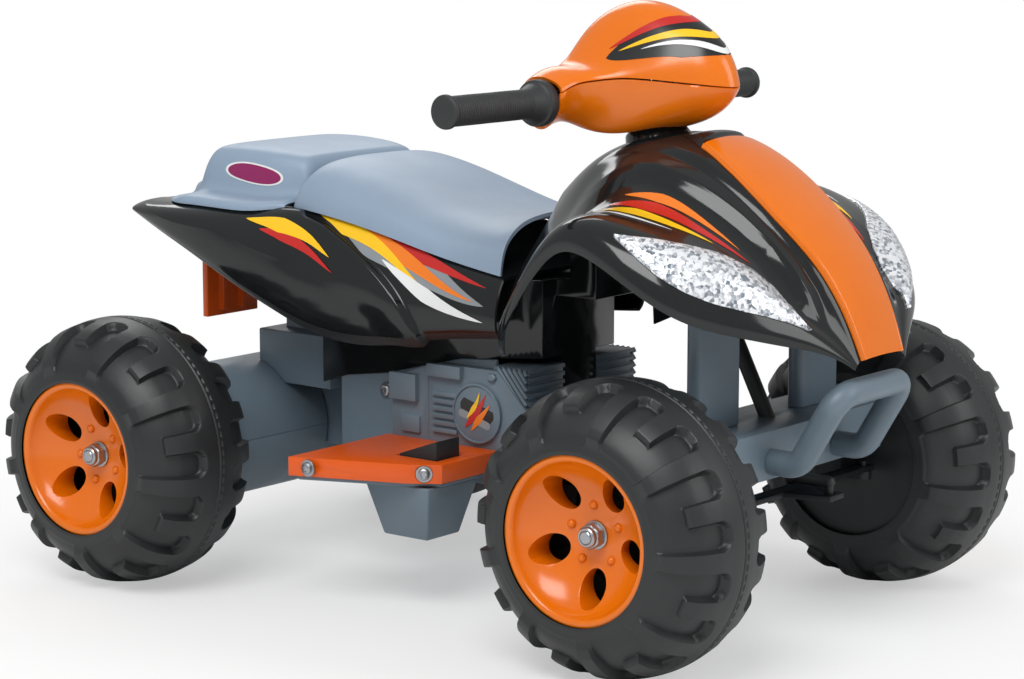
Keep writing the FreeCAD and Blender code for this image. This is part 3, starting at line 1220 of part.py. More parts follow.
def gear_face(teeth, bore):
    """Make a gear's face with a tooth on +X and a round bore."""
    module = size.gear_module
    pitch = module * teeth / 2
    base = pitch * math.cos(math.radians(PRESSURE_ANGLE))
    tip = pitch + module * ADDENDUM_SHARE
    root = pitch - module * DEDENDUM_SHARE
    half_tooth = (math.pi * module / 2 - size.gear_slack) / (2 * pitch)
    start = max(base, root)
    flank = []
    for step in range(5):
        radius = start + (tip - start) * step / 4
        lean = half_tooth + involute(math.radians(PRESSURE_ANGLE)) - involute(math.acos(base / radius))
        flank.append((radius, lean))
    points = []
    for tooth in range(teeth):
        middle = 2 * math.pi * tooth / teeth
        outline = [(radius, -lean) for radius, lean in flank]
        outline += [(radius, lean) for radius, lean in reversed(flank)]
        if root < base:
            outline = [(root, -flank[0][1])] + outline + [(root, flank[0][1])]
        points += [Vector(radius * math.cos(middle + turn), radius * math.sin(middle + turn))
                   for radius, turn in outline]
    ring = Part.Wire(Part.makePolygon(points + points[:1]))
    hole = Part.Wire(Part.makeCircle(bore))
    return Part.makeFace([ring, hole], "Part::FaceMakerBullseye")


def drive():
    """Make the motor, its pinion and the drive gear on the rear right wheel."""
    axle = Vector(-size.wheelbase / 2, 0, size.tyre_radius)
    reach = size.gear_module * (DRIVE_TEETH + PINION_TEETH) / 2
    motor_axis = axle + Vector(reach, 0, 0)
    face = -(size.gear_place + size.gear_width / 2)
    gear = gear_face(DRIVE_TEETH, size.axle_radius + size.run_gap).extrude(Vector(0, 0, size.gear_width))
    dog_length = size.rear_plane - size.tyre_half_width * TYRE_SHARES[0][1] + face
    dog = Part.makeCylinder(size.dog_radius, dog_length, Vector(0, 0, size.gear_width))
    bore = Part.makeCylinder(size.axle_radius + size.run_gap, dog_length, Vector(0, 0, size.gear_width))
    gear = gear.fuse(dog.cut(bore))
    gear_back = Vector(axle.x, -(size.gear_place - size.gear_width / 2), axle.z)
    node(feature("drive_gear", gear, Placement(gear_back, TURN_TO_RIGHT)), "drive_gear")
    pinion = gear_face(PINION_TEETH, size.motor_shaft).extrude(Vector(0, 0, size.gear_width))
    pinion.rotate(Vector(), Vector(0, 0, 1), 180 / PINION_TEETH)
    place = Vector(motor_axis.x, gear_back.y, motor_axis.z)
    shaft_length = size.gear_width + size.motor_plate + size.motor_length / 2
    shaft = Part.makeCylinder(size.motor_shaft, shaft_length, Vector(0, 0, size.gear_width - shaft_length))
    node(feature("motor_pinion", pinion.fuse(shaft), Placement(place, TURN_TO_RIGHT)), "motor_pinion")
    back = gear_back.y + size.rest_gap
    can = Part.makeCylinder(size.motor_radius, size.motor_length,
                            Vector(motor_axis.x, back + size.motor_plate, motor_axis.z), Vector(0, 1, 0))
    inner = size.drum_radius - size.drum_wall
    disc = Part.makeCylinder(inner, size.motor_plate, Vector(axle.x, back, axle.z), Vector(0, 1, 0))
    holes = [Part.makeCylinder(radius, size.bar_half, Vector(centre.x, -size.bar_half, centre.z),
                               Vector(0, 1, 0))
             for centre, radius in ((axle, size.axle_radius), (motor_axis, size.motor_shaft + size.run_gap))]
    node(feature("motor", can.fuse(disc).cut(holes[0].fuse(holes[1]))), "motor")


def battery():
    """Make the battery with its two terminals on the tub's floor."""
    floor = "tub_foot + tub_wall"
    case = box("battery_case", ("-battery_length / 2", "battery_length / 2"),
               ("-battery_width / 2", "battery_width / 2"), (floor, f"{floor} + battery_height"))
    tops = []
    for name, side in (("plus", "battery_width / 4"), ("minus", "-battery_width / 4")):
        tops.append(rod_along_z(f"terminal_{name}", "terminal_radius", f"{floor} + battery_height",
                                f"{floor} + battery_height + terminal_height", "battery_length / 3", side))
    node(fuse("battery", case, *tops), "battery")


def engine_panels():
    """Make the engine panel of each side with its cover, bosses, slots and fins."""
    face = "-tub_half - panel_thick"
    long = "(panel_front + panel_rear)"
    tall = "(panel_top - panel_foot)"

    def part_of(name, x, z, relief="panel_relief"):
        return box(name, (f"{long} * {x[0]} - panel_rear", f"{long} * {x[1]} - panel_rear"),
                   (f"{face} - {relief}", face),
                   (f"{tall} * {z[0]} + panel_foot", f"{tall} * {z[1]} + panel_foot"))

    outline = [("-panel_rear", "panel_foot"), ("panel_front", "panel_foot"),
               ("panel_front", f"panel_foot + {tall} * 0.66"), (f"{long} * 0.786 - panel_rear", "panel_top"),
               (f"{long} * 0.33 - panel_rear", "panel_top"), ("-panel_rear", f"panel_foot + {tall} * 0.82")]
    base = plate("engine_plate", outline, "panel_thick", (), ("0", "-tub_half", "0"), TURN_TO_RIGHT)
    details = [part_of("engine_boss_rear", (0.007, 0.207), (0.625, 0.875)),
               part_of("engine_boss_top", (0.293, 0.54), (0.886, 1.0)),
               part_of("engine_square", (0.086, 0.221), (0.33, 0.483), "panel_relief / 2")]
    for slat in range(6):
        low = 0.364 + 0.068 * slat
        details.append(part_of(f"engine_slat_{slat}", (0.321, 0.5), (low, low + 0.04), "panel_relief / 2"))
    block_rear = "rail_rear + rest_gap"
    block_side = "-tub_half - panel_thick / 4"
    details.append(box("engine_block", (block_rear, "block_front"), (block_side, "-block_inner"),
                       ("block_foot", "block_top")))
    for fin in range(5):
        low = f"block_foot + (block_top - block_foot - panel_fin) * {fin} / 4"
        details.append(box(f"engine_fin_{fin}", (block_rear, "block_front + fin_reach"),
                           (f"{block_side} - fin_reach", "-block_inner"),
                           (low, f"{low} + panel_fin")))
    cover = rod_along_y("engine_cover", "panel_cover", f"{face} - panel_relief / 2", face,
                        f"{long} * 0.65 - panel_rear", f"panel_foot + {tall} * 0.591")
    right = fuse("engine_panel_right", base, cover, *details)
    node(right, "engine_panel_right")
    node(mirrored("engine_panel_left", right), "engine_panel_left")


# Footrests and pedal

def pedal_opening(name, low, high, margin):
    """Make the space that the pedal needs between two levels."""
    return box(name, (f"pedal_heel - pedal_pin * 2 - {margin}", f"pedal_heel + pedal_length + {margin}"),
               (f"-pedal_place - pedal_width / 2 - {margin}", f"-pedal_place + pedal_width / 2 + {margin}"),
               (low, high))


def footrest_sheet(name, inset, low, thickness):
    """Make a footrest's plate on the right side."""
    inner = "-tub_half - panel_thick - rest_gap"
    outline = [("-rest_rear + " + inset, inner), ("-rest_rear + " + inset, f"-rest_reach + {inset} * 1.5"),
               (f"rest_front * 0.5 - {inset}", f"-rest_front_reach - rest_rim + {inset} * 1.5"),
               (f"rest_front - {inset}", f"-rest_front_reach + rest_rim * 3 + {inset}"),
               (f"rest_front - {inset}", inner)]
    return plate(name, outline, thickness, (), ("0", "0", low))


def footrests():
    """Make the footrests, their pans and screws."""
    foot = "(rest_top - rest_thick)"
    sheet_right = footrest_sheet("rest_sheet_right", "0", foot, "rest_thick")
    sheet_left = footrest_sheet("rest_sheet_left", "0", foot, "rest_thick")
    pan_right = footrest_sheet("pan_sheet_right", "rest_rim", f"{foot} - pan_thick", "pan_thick")
    pan_left = footrest_sheet("pan_sheet_left", "rest_rim", f"{foot} - pan_thick", "pan_thick")
    screws = []
    sockets = {"right": [], "left": []}
    slant = math.degrees(math.atan2(4 * size.rest_rim, size.rest_front / 2))
    spots = (("rear", "-rest_rear * 0.75", "-rest_reach + rest_rim", 0.0),
             ("front", "rest_front * 0.75 - rest_rim / 4", "-rest_front_reach + rest_rim * 1.3", slant))
    for side, sign in (("right", ""), ("left", "-")):
        for name, x, y, angle in spots:
            outward = Rotation(Vector(0, 0, 1), angle if side == "right" else -angle)
            out_turn = outward.multiply(TURN_TO_RIGHT if side == "right" else TURN_TO_LEFT)
            in_turn = outward.multiply(TURN_TO_LEFT if side == "right" else TURN_TO_RIGHT)
            parts = []
            for kind, radius, length, turn in (("shank", "screw_shank", "screw_depth", in_turn),
                                               ("head", "screw_head", "screw_rise", out_turn),
                                               ("seat", "screw_head", "screw_depth", out_turn)):
                rod = bind(doc.addObject("Part::Cylinder", f"screw_{kind}_{side}_{name}"), Radius=radius,
                           Height=length)
                parts.append(seat(rod, x, f"{sign}({y})", f"{foot} + rest_thick / 2", turn))
            screws.append(fuse(f"screw_{side}_{name}", parts[0], parts[1]))
            sockets[side] += [parts[0], parts[2]]
    room = pedal_opening("rest_room", f"{foot} - overrun", "rest_top + overrun", "pedal_play")
    pin = rod_along_y("rest_pin", "pedal_pin", "-pedal_place - pedal_width / 2 - screw_depth / 2",
                      "-pedal_place + pedal_width / 2 + screw_depth / 2", "pedal_heel",
                      f"{foot} + rest_thick / 2")
    opened = cut("rest_right_opened", sheet_right, room, *sockets["right"])
    node(fuse("footrest_right", opened, pin), "footrest_right")
    left = mirrored("rest_left_blank", sheet_left)
    node(cut("footrest_left", left, *sockets["left"]), "footrest_left")
    pan_room = pedal_opening("pan_room", f"{foot} - overrun * 2", "rest_top + overrun", "pedal_play")
    node(cut("footrest_pan_right", pan_right, pan_room), "footrest_pan_right")
    node(mirrored("footrest_pan_left", pan_left), "footrest_pan_left")
    node(group("footrest_screws", *screws), "footrest_screws")


def pedal_toe_foot():
    """Give the underside of the pedal's toe."""
    return size.rest_top - size.pedal_skirt - size.rest_thick / 2


def pedal():
    """Make the pedal, its spring, switch and box."""
    foot = size.rest_top - size.rest_thick
    axis = foot + size.rest_thick / 2
    pin = size.pedal_pin
    outline = [(size.pedal_heel - 1.6 * pin, axis - 1.6 * pin),
               (size.pedal_heel + size.pedal_length, pedal_toe_foot()),
               (size.pedal_heel + size.pedal_length, size.rest_top + size.pedal_rise),
               (size.pedal_heel - 1.6 * pin, size.rest_top + pin / 2)]
    points = [Vector(x, -size.pedal_place - size.pedal_width / 2, z) for x, z in outline]
    wedge = Part.Face(Part.makePolygon(points + points[:1])).extrude(Vector(0, size.pedal_width, 0))
    hole = Part.makeCylinder(pin + size.run_gap, 2 * size.pedal_width,
                             Vector(size.pedal_heel, -size.pedal_place - size.pedal_width, axis),
                             Vector(0, 1, 0))
    node(feature("pedal", wedge.cut(hole)), "pedal")
    top = foot - size.pan_thick
    wall = size.bucket_wall
    outer = bucket(0.0, top, size.bucket_foot)
    room = bucket(wall, top + size.overrun, size.bucket_foot + wall)
    node(feature("pedal_box", outer.cut(room)), "pedal_box")
    pedal_inside(size.bucket_foot + wall)


def bucket(inset, top, foot):
    """Make the tapered block of the pedal box, drawn in by an inset."""
    rings = []
    for level, draw in ((top, inset), (foot, inset + size.bucket_taper)):
        corners = [Vector(size.bucket_rear + draw, -size.bucket_outer + draw, level),
                   Vector(size.bucket_front - draw, -size.bucket_outer + draw, level),
                   Vector(size.bucket_front - draw, -size.bucket_inner - draw, level),
                   Vector(size.bucket_rear + draw, -size.bucket_inner - draw, level)]
        rings.append(Part.Wire(Part.makePolygon(corners + corners[:1])))
    return Part.makeLoft(rings, True, True)


def pedal_inside(floor):
    """Make the spring and the switch under the pedal."""
    turns = int(size.spring_turns)
    room = pedal_toe_foot() - floor - 2 * size.spring_wire - size.rest_gap
    place = Vector(size.pedal_heel + size.spring_place, -size.pedal_place, floor + size.spring_wire)
    coil = Part.makeHelix(room / turns, room, size.spring_radius)
    ring = Part.Wire(Part.makeCircle(size.spring_wire, Vector(size.spring_radius, 0, 0), Vector(0, 1, 0)))
    wire = Part.Wire(coil).makePipeShell([ring], True, True)
    node(feature("pedal_spring", wire, Placement(place, Rotation())), "pedal_spring")
    node(box("pedal_switch", ("pedal_heel", "pedal_heel + switch_length / 2"),
             ("-pedal_place - switch_width / 2", "-pedal_place + switch_width / 2"),
             ("bucket_foot + bucket_wall", "bucket_foot + bucket_wall + switch_height")), "pedal_switch")


def direction_switch():
    """Make the direction switch's case and rocker on the main frame's left side."""
    wall = size.frame_half
    centre = Vector(size.rocker_place, wall, size.rocker_height)
    length = size.rocker_length
    width = size.rocker_width
    rim = size.bezel_rim
    flange = Part.makeBox(length + 2 * rim, size.bezel_thick, width + 2 * rim,
                          centre - Vector(length / 2 + rim, 0, width / 2 + rim))
    case = Part.makeBox(length, size.bezel_depth, width + rim,
                        centre - Vector(length / 2, size.bezel_depth, (width + rim) / 2))
    room = Part.makeBox(length - rim, size.bezel_depth + size.overrun, width,
                        centre - Vector((length - rim) / 2, size.bezel_depth - rim / 2, width / 2))
    node(feature("switch_case", flange.fuse(case).cut(room)), "switch_case")
    axis = centre + Vector(0, size.bezel_thick + size.rocker_rise - size.rocker_radius, 0)
    drum = Part.makeCylinder(size.rocker_radius, width - 2 * size.rest_gap,
                             axis - Vector(0, 0, width / 2 - size.rest_gap), Vector(0, 0, 1))
    reach = length / 2 - rim / 2 - size.rocker_play
    window = Part.makeBox(2 * reach, size.rocker_radius * 2, width,
                          axis - Vector(reach, -size.rocker_radius / 4, width / 2))
    node(feature("switch_rocker", drum.common(window)), "switch_rocker")


# Handlebar

def cover_net(section, direction):
    """Lay out the net of one half of the handlebar's cover."""
    rows = []
    for across, rear, front, seam, rise, drop in COVER_SHARES:
        level = size.cover_seam + size.cover_rise * seam
        height = size.cover_rise * rise if direction > 0 else size.cover_drop * drop
        start = size.cover_rear + size.cover_length * rear
        length = size.cover_length * (front - rear)
        rows.append([Vector(start + length * along, size.cover_half * across, level + direction * height * up)
                     for along, up in section])
    return rows


def handlebar():
    """Make the handlebar's tube, stem, covers and grips."""
    upper = skin(cover_net(UPPER_SECTION_SHARES, 1), -size.cover_wall)
    node(feature("cover_upper", upper), "cover_upper")
    lower_net = cover_net(LOWER_SECTION_SHARES, -1)
    lower_net = [[point - Vector(0, 0, size.cover_gap) for point in line] for line in lower_net]
    lower = skin(lower_net, size.cover_wall)
    axis = steering_axis(size.bar_height)
    neck = Part.makeCylinder(size.cover_neck, size.cover_drop * 2, axis, -steering_up())
    node(feature("cover_lower", lower.cut(neck)), "cover_lower")
    node(feature("steering_shaft", steering_shaft()), "steering_shaft")
    tube = rod_along_y("bar_tube", "bar_radius", "-bar_half", "bar_half", "bar_place", "bar_height")
    wall = size.stem_wall
    block = Part.makeBox(axis.x - size.bar_place, 2 * size.stem_half, 2 * size.bar_radius,
                         Vector(size.bar_place, -size.stem_half, size.bar_height - size.bar_radius))
    collar = Part.makeCylinder(size.shaft_radius + wall, 2 * (size.bar_radius + wall),
                               axis - steering_up() * (size.bar_radius + wall), steering_up())
    hollow = Part.makeCylinder(size.shaft_radius, size.bar_half, axis, -steering_up())
    stem = feature("bar_stem", block.fuse(collar).cut(hollow))
    node(fuse("handlebar_tube", tube, stem), "handlebar_tube")
    for side, sign in (("right", "-"), ("left", "")):
        grip(side, sign)


def grip(side, sign):
    """Make a grip with its inner collar and end."""
    def span(low, high):
        return (f"-({high})", f"-({low})") if sign else (low, high)

    start = "cover_half + rest_gap * 3"
    x = "bar_place"
    z = "bar_height"
    collar_span = span(start, f"{start} + grip_collar_thick")
    end_span = span("grip_end - grip_flange_thick", "grip_end")
    collar = rod_along_y(f"grip_collar_{side}", "grip_collar", *collar_span, x, z)
    sleeve = rod_along_y(f"grip_sleeve_{side}", "grip_radius", *span(start, "grip_end"), x, z)
    end = rod_along_y(f"grip_flange_{side}", "grip_flange", *end_span, x, z)
    bore = rod_along_y(f"grip_bore_{side}", "bar_radius", *span(f"{start} - overrun", "bar_half"), x, z)
    node(cut(f"grip_{side}", fuse(f"grip_solid_{side}", collar, sleeve, end), bore), f"grip_{side}")


def write_parts():
    """Check every object and write each sub-part."""
    doc.recompute()
    for item in doc.Objects:
        if "Invalid" in item.State or "Error" in item.State:
            raise RuntimeError(f"{item.Label} failed: {item.State}")
    for item in nodes:
        if item.Shape.isNull() or not item.Shape.isValid() or item.Shape.Volume <= 0:
            raise RuntimeError(f"{item.Label} has no valid shape")
    os.makedirs("parts", exist_ok=True)
    for item in nodes:
        item.Shape.exportStep(f"parts/{item.Label}.step")
    print(f"wrote {len(nodes)} sub-parts")


wheels()
for hand in ("right", "left"):
    knuckle(hand)
tie_rod()
front_beam()
bumper()
fairing_parts()
rear_parts()
tub()
axle_housing()
drive()
battery()
engine_panels()
footrests()
pedal()
direction_switch()
handlebar()
write_parts()
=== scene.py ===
import json
import logging
import math
from dataclasses import dataclass, replace
from enum import Enum
from typing import Any, Callable, Sequence

import bmesh
import bpy
import numpy as np
from mathutils import Matrix, Vector


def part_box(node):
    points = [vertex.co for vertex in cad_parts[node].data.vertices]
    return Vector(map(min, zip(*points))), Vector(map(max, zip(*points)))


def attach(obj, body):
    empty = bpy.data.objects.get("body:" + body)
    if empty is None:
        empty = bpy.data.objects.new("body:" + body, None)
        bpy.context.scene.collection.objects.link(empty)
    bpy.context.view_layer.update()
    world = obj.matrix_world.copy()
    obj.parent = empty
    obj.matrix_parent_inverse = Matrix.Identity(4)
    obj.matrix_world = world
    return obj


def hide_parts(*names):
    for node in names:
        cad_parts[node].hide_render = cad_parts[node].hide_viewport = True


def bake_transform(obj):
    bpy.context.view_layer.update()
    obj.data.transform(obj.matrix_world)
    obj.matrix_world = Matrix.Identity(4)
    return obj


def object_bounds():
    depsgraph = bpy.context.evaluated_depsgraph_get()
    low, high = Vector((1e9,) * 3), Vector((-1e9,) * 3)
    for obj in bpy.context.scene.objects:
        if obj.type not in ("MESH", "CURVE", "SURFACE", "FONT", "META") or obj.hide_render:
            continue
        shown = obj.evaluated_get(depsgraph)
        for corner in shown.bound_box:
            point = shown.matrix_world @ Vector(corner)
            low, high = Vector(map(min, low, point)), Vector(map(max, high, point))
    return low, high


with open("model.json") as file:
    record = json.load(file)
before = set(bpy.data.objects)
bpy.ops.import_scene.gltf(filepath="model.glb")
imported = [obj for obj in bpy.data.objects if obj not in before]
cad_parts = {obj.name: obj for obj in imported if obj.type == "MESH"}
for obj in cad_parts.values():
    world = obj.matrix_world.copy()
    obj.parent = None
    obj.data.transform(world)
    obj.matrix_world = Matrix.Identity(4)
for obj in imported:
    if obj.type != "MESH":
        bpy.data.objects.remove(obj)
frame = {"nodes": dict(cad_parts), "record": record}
CAD_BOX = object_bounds()

LOG = logging.getLogger("quad_bike")
MM = 0.001
BODY_OF = {node: body for body, nodes in frame["record"]["behaviour"]["bodies"].items() for node in nodes}
SLOT_OF = {part["node"]: part["material_slot"] for part in frame["record"]["subparts"]}


class Side(Enum):
    """Sides of the vehicle, as the sign of Y."""

    RIGHT = -1
    LEFT = 1


class End(Enum):
    """Ends of the vehicle, as the sign of X."""

    FRONT = 1
    REAR = -1


# Colour and nodes

def linear(colour: str) -> tuple[float, float, float, float]:
    """Turn an sRGB hex colour into linear red, green, blue and alpha.

    Args:
        colour: six hex digits after a hash mark.

    Returns:
        The four linear values.
    """
    shares = [int(colour[place:place + 2], 16) / 255 for place in (1, 3, 5)]
    values = [share / 12.92 if share <= 0.04045 else ((share + 0.055) / 1.055) ** 2.4 for share in shares]
    return (*values, 1.0)


def add_node(tree: bpy.types.NodeTree, kind: str, settings: dict[Any, Any] | None = None,
             links: dict[Any, bpy.types.NodeSocket] | None = None) -> bpy.types.Node:
    """Add a shader node with its settings and links.

    Args:
        tree: the tree that gets the node.
        kind: the node's type, without its common prefix.
        settings: values by property name, or by input socket name or number.
        links: output sockets by the input socket they feed.

    Returns:
        The new node.
    """
    node = tree.nodes.new(f"ShaderNode{kind}")
    for key, value in (settings or {}).items():
        if isinstance(key, str) and hasattr(node, key):
            setattr(node, key, value)
        else:
            node.inputs[key].default_value = value
    for key, source in (links or {}).items():
        tree.links.new(source, node.inputs[key])
    return node


# Finishes

@dataclass(frozen=True)
class Finish:
    """A procedural surface.

    Attributes:
        name: the material's name.
    """

    name: str

    def material(self) -> bpy.types.Material:
        """Give the material, which is made at the first call.

        Returns:
            The material.
        """
        made = bpy.data.materials.get(self.name)
        if not made:
            made = bpy.data.materials.new(self.name)
            made.use_nodes = True
            self.paint(made.node_tree)
        return made

    def paint(self, tree: bpy.types.NodeTree) -> None:
        """Wire up the finish in a material's nodes."""
        raise NotImplementedError


@dataclass(frozen=True)
class Moulded(Finish):
    """A plastic or metal surface with a fine grain and a slow change of tone.

    Attributes:
        colour: its main colour.
        shade: the colour that it drifts to.
        roughness: its mean roughness.
        ior: index of refraction.
        metallic: one for a metal.
        specular: share of the usual reflection.
        grain_mm: width of a grain.
        grain_depth_mm: depth of a grain.
        cloud_mm: width of a patch of tone.
        coat: share of a clear coat.
    """

    colour: str
    shade: str
    roughness: float
    ior: float = 1.5
    metallic: float = 0.0
    specular: float = 0.5
    grain_mm: float = 1.0
    grain_depth_mm: float = 0.02
    cloud_mm: float = 45.0
    coat: float = 0.0

    def paint(self, tree: bpy.types.NodeTree) -> None:
        """Wire up the finish in a material's nodes.

        Args:
            tree: the material's nodes.
        """
        shader = tree.nodes["Principled BSDF"]
        place = add_node(tree, "TexCoord").outputs["Object"]
        cloud = add_node(tree, "TexNoise", {"Scale": 1 / (self.cloud_mm * MM), "Detail": 4.0, "Roughness": 0.6},
                         {"Vector": place})
        tone = add_node(tree, "Mix", {"data_type": "RGBA", 6: linear(self.colour), 7: linear(self.shade)},
                        {0: cloud.outputs["Fac"]})
        gloss = add_node(tree, "MapRange", {"To Min": self.roughness * 0.85, "To Max": self.roughness * 1.15},
                         {"Value": cloud.outputs["Fac"]})
        grain = add_node(tree, "TexNoise", {"Scale": 1 / (self.grain_mm * MM), "Detail": 2.0},
                         {"Vector": place})
        bump = add_node(tree, "Bump", {"Distance": self.grain_depth_mm * MM}, {"Height": grain.outputs["Fac"]})
        shader.inputs["IOR"].default_value = self.ior
        shader.inputs["Metallic"].default_value = self.metallic
        shader.inputs["Specular IOR Level"].default_value = self.specular
        shader.inputs["Coat Weight"].default_value = self.coat
        tree.links.new(tone.outputs[2], shader.inputs["Base Color"])
        tree.links.new(gloss.outputs["Result"], shader.inputs["Roughness"])
        tree.links.new(bump.outputs["Normal"], shader.inputs["Normal"])


@dataclass(frozen=True)
class Reflector(Finish):
    """A metallised lamp film under clear plastic, broken into small crystal facets.

    Attributes:
        bright: colour of a facet that faces the light.
        dim: colour of a facet that faces away.
        facet_mm: width of a facet.
        tilt_mm: height that a facet's edge seems to rise by.
    """

    bright: str
    dim: str
    facet_mm: float
    tilt_mm: float

    def paint(self, tree: bpy.types.NodeTree) -> None:
        """Wire up the finish in a material's nodes.

        Args:
            tree: the material's nodes.
        """
        shader = tree.nodes["Principled BSDF"]
        place = add_node(tree, "TexCoord").outputs["Object"]
        facets = add_node(tree, "TexVoronoi", {"Scale": 1 / (self.facet_mm * MM)}, {"Vector": place})
        spread = add_node(tree, "TexNoise", {"Scale": 0.6 / (self.facet_mm * MM), "Detail": 5.0,
                                             "Roughness": 0.75}, {"Vector": place})
        blend = add_node(tree, "Math", {"operation": "MULTIPLY"},
                         {0: facets.outputs["Color"], 1: spread.outputs["Fac"]})
        ramp = add_node(tree, "ValToRGB", {}, {"Fac": blend.outputs["Value"]})
        ramp.color_ramp.elements[0].color = linear(self.dim)
        ramp.color_ramp.elements[0].position = 0.08
        ramp.color_ramp.elements[1].color = linear(self.bright)
        ramp.color_ramp.elements[1].position = 0.3
        bump = add_node(tree, "Bump", {"Distance": self.tilt_mm * MM}, {"Height": facets.outputs["Distance"]})
        shader.inputs["Metallic"].default_value = 0.35
        shader.inputs["Roughness"].default_value = 0.28
        shader.inputs["Coat Weight"].default_value = 0.6
        tree.links.new(ramp.outputs["Color"], shader.inputs["Base Color"])
        tree.links.new(bump.outputs["Normal"], shader.inputs["Normal"])


# Polished-mould ABS: black, mirror-like, with a faint long wave in its reflections
BLACK_GLOSS = Moulded("abs_gloss_black", "#141617", "#1b1e1f", 0.11, 1.53, specular=0.42, grain_mm=14.0,
                      grain_depth_mm=0.05)
# Gloss ABS in orange: bright, with sharp lamp streaks
ORANGE_GLOSS = Moulded("abs_gloss_orange", "#E47406", "#DD6B04", 0.2, 1.53, grain_mm=12.0, grain_depth_mm=0.04)
# Satin polypropylene in deeper orange: broad soft highlights and a fine spark grain
ORANGE_SATIN = Moulded("polypropylene_satin_orange", "#E45C08", "#DB5406", 0.34, 1.49, grain_mm=1.4,
                       grain_depth_mm=0.02)
# Blow-moulded polyethylene seat: pale blue-grey with a fine leather-like spark grain
SEAT_GREY = Moulded("polyethylene_seat_grey", "#8EA1B5", "#8597AB", 0.46, 1.51, grain_mm=1.8,
                    grain_depth_mm=0.05)
# Injection-moulded polypropylene: mid blue-grey, slightly streaky, satin
CHASSIS_GREY = Moulded("polypropylene_chassis_grey", "#6C7C88", "#61707B", 0.42, 1.49, grain_mm=1.6,
                       grain_depth_mm=0.03)
# Black polypropylene with a spark-eroded matte grain
BLACK_MATTE = Moulded("polypropylene_matte_black", "#1d1f20", "#242627", 0.5, 1.49, grain_mm=1.2,
                      grain_depth_mm=0.03)
# Blow-moulded polyethylene tyre: near black, dull, slightly waxy, with a cast-like grain
TYRE_BLACK = Moulded("polyethylene_tyre_black", "#1a1c1d", "#232627", 0.44, 1.51, specular=0.5, grain_mm=2.4,
                     grain_depth_mm=0.08)
# Zinc-plated steel: pale grey metal with a soft plated grain
ZINC = Moulded("zinc_plated_steel", "#B4B7BA", "#9A9DA1", 0.34, metallic=1.0, grain_mm=0.9, grain_depth_mm=0.01)
# Natural acetal: off-white, waxy, slightly see-through look
GEAR_WHITE = Moulded("acetal_natural", "#E6E3DA", "#DAD6CB", 0.4, 1.48, grain_mm=1.5, grain_depth_mm=0.01)
# Grip of soft vinyl: black and dull
GRIP_BLACK = Moulded("vinyl_grip_black", "#232526", "#2b2d2e", 0.55, 1.52, grain_mm=1.0, grain_depth_mm=0.04)
# Metallised film under clear plastic in the headlights
LAMP_SILVER = Reflector("metallised_lamp_film", "#F4F6FA", "#78818B", 2.8, 0.4)


def film(colour_name: str, colour: str, shade: str) -> Moulded:
    """Give the finish of printed vinyl film: a flat colour under a glossy skin."""
    return Moulded(f"vinyl_film_{colour_name}", colour, shade, 0.25, 1.52, grain_mm=8.0, grain_depth_mm=0.01)


FILM_YELLOW = film("yellow", "#F8C51C", "#F2BC14")
FILM_ORANGE = film("orange", "#EE7F22", "#E67518")
FILM_RED = film("red", "#C4241F", "#B81F1B")
FILM_WHITE = film("white", "#E9EAEA", "#E0E1E1")
FILM_GREY = film("grey", "#8B9297", "#838A8F")
FILM_BLACK = film("black", "#17191a", "#1e2021")
FILM_MAGENTA = film("magenta", "#8E1F5C", "#861B56")
# Blackened steel: dark grey metal with a dull sheen
DARK_STEEL = Moulded("black_oxide_steel", "#303234", "#26282a", 0.42, metallic=0.8, grain_mm=0.9, grain_depth_mm=0.01)

FINISH_OF_SLOT: dict[str, Finish] = {
    "orange_shell": ORANGE_GLOSS, "orange_moulding": ORANGE_SATIN, "seat_grey": SEAT_GREY,
    "chassis_grey": CHASSIS_GREY, "black_gloss": BLACK_GLOSS, "black_matte": BLACK_MATTE,
    "tyre_plastic": TYRE_BLACK, "headlight_silver": LAMP_SILVER, "zinc_steel": ZINC, "gear_white": GEAR_WHITE,
}


# Meshes

def settle(piece: bpy.types.Object, carrier: str, stands_for: Sequence[str] = (),
           finishes: Sequence[Finish] = (), top_follows: str = "") -> bpy.types.Object:
    """Dress a piece, let it ride with a node's body and let it stand for nodes.

    Args:
        piece: the finished object, in place.
        carrier: the node whose body and slot the piece takes.
        stands_for: the nodes that the piece replaces.
        finishes: its finishes, or none for the one of the carrier's slot.
        top_follows: a name that, when given, leaves the piece unparented with its place baked into its points; none
            lets all of it ride.

    Returns:
        The piece.
    """
    for finish in finishes or (FINISH_OF_SLOT[SLOT_OF[carrier]],):
        piece.data.materials.append(finish.material())
    if top_follows:
        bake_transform(piece)
    else:
        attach(piece, BODY_OF[carrier])
    if stands_for:
        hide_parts(*stands_for)
    LOG.info("%s goes with %s", piece.name, BODY_OF[carrier])
    return piece


def link_mesh(name: str, mesh: bpy.types.Mesh, crease: float) -> bpy.types.Object:
    """Shade a mesh smooth and link an object of it to the scene.

    Args:
        name: the object's name.
        mesh: the finished mesh.
        crease: angle in degrees above which an edge stays sharp.

    Returns:
        The new object.
    """
    mesh.shade_smooth()
    mesh.set_sharp_from_angle(angle=math.radians(crease))
    made = bpy.data.objects.new(name, mesh)
    bpy.context.scene.collection.objects.link(made)
    return made


def mesh_object(name: str, points: np.ndarray, faces: Sequence[Sequence[int]],
                crease: float = 35.0) -> bpy.types.Object:
    """Make an object from points in metres and faces.

    Args:
        name: the object's name.
        points: rows of x, y and z.
        faces: point numbers of each face.
        crease: angle in degrees above which an edge stays sharp.

    Returns:
        The new object, linked to the scene.
    """
    mesh = bpy.data.meshes.new(name)
    mesh.from_pydata([tuple(point) for point in points], [], [tuple(face) for face in faces])
    mesh.validate()
    return link_mesh(name, mesh, crease)


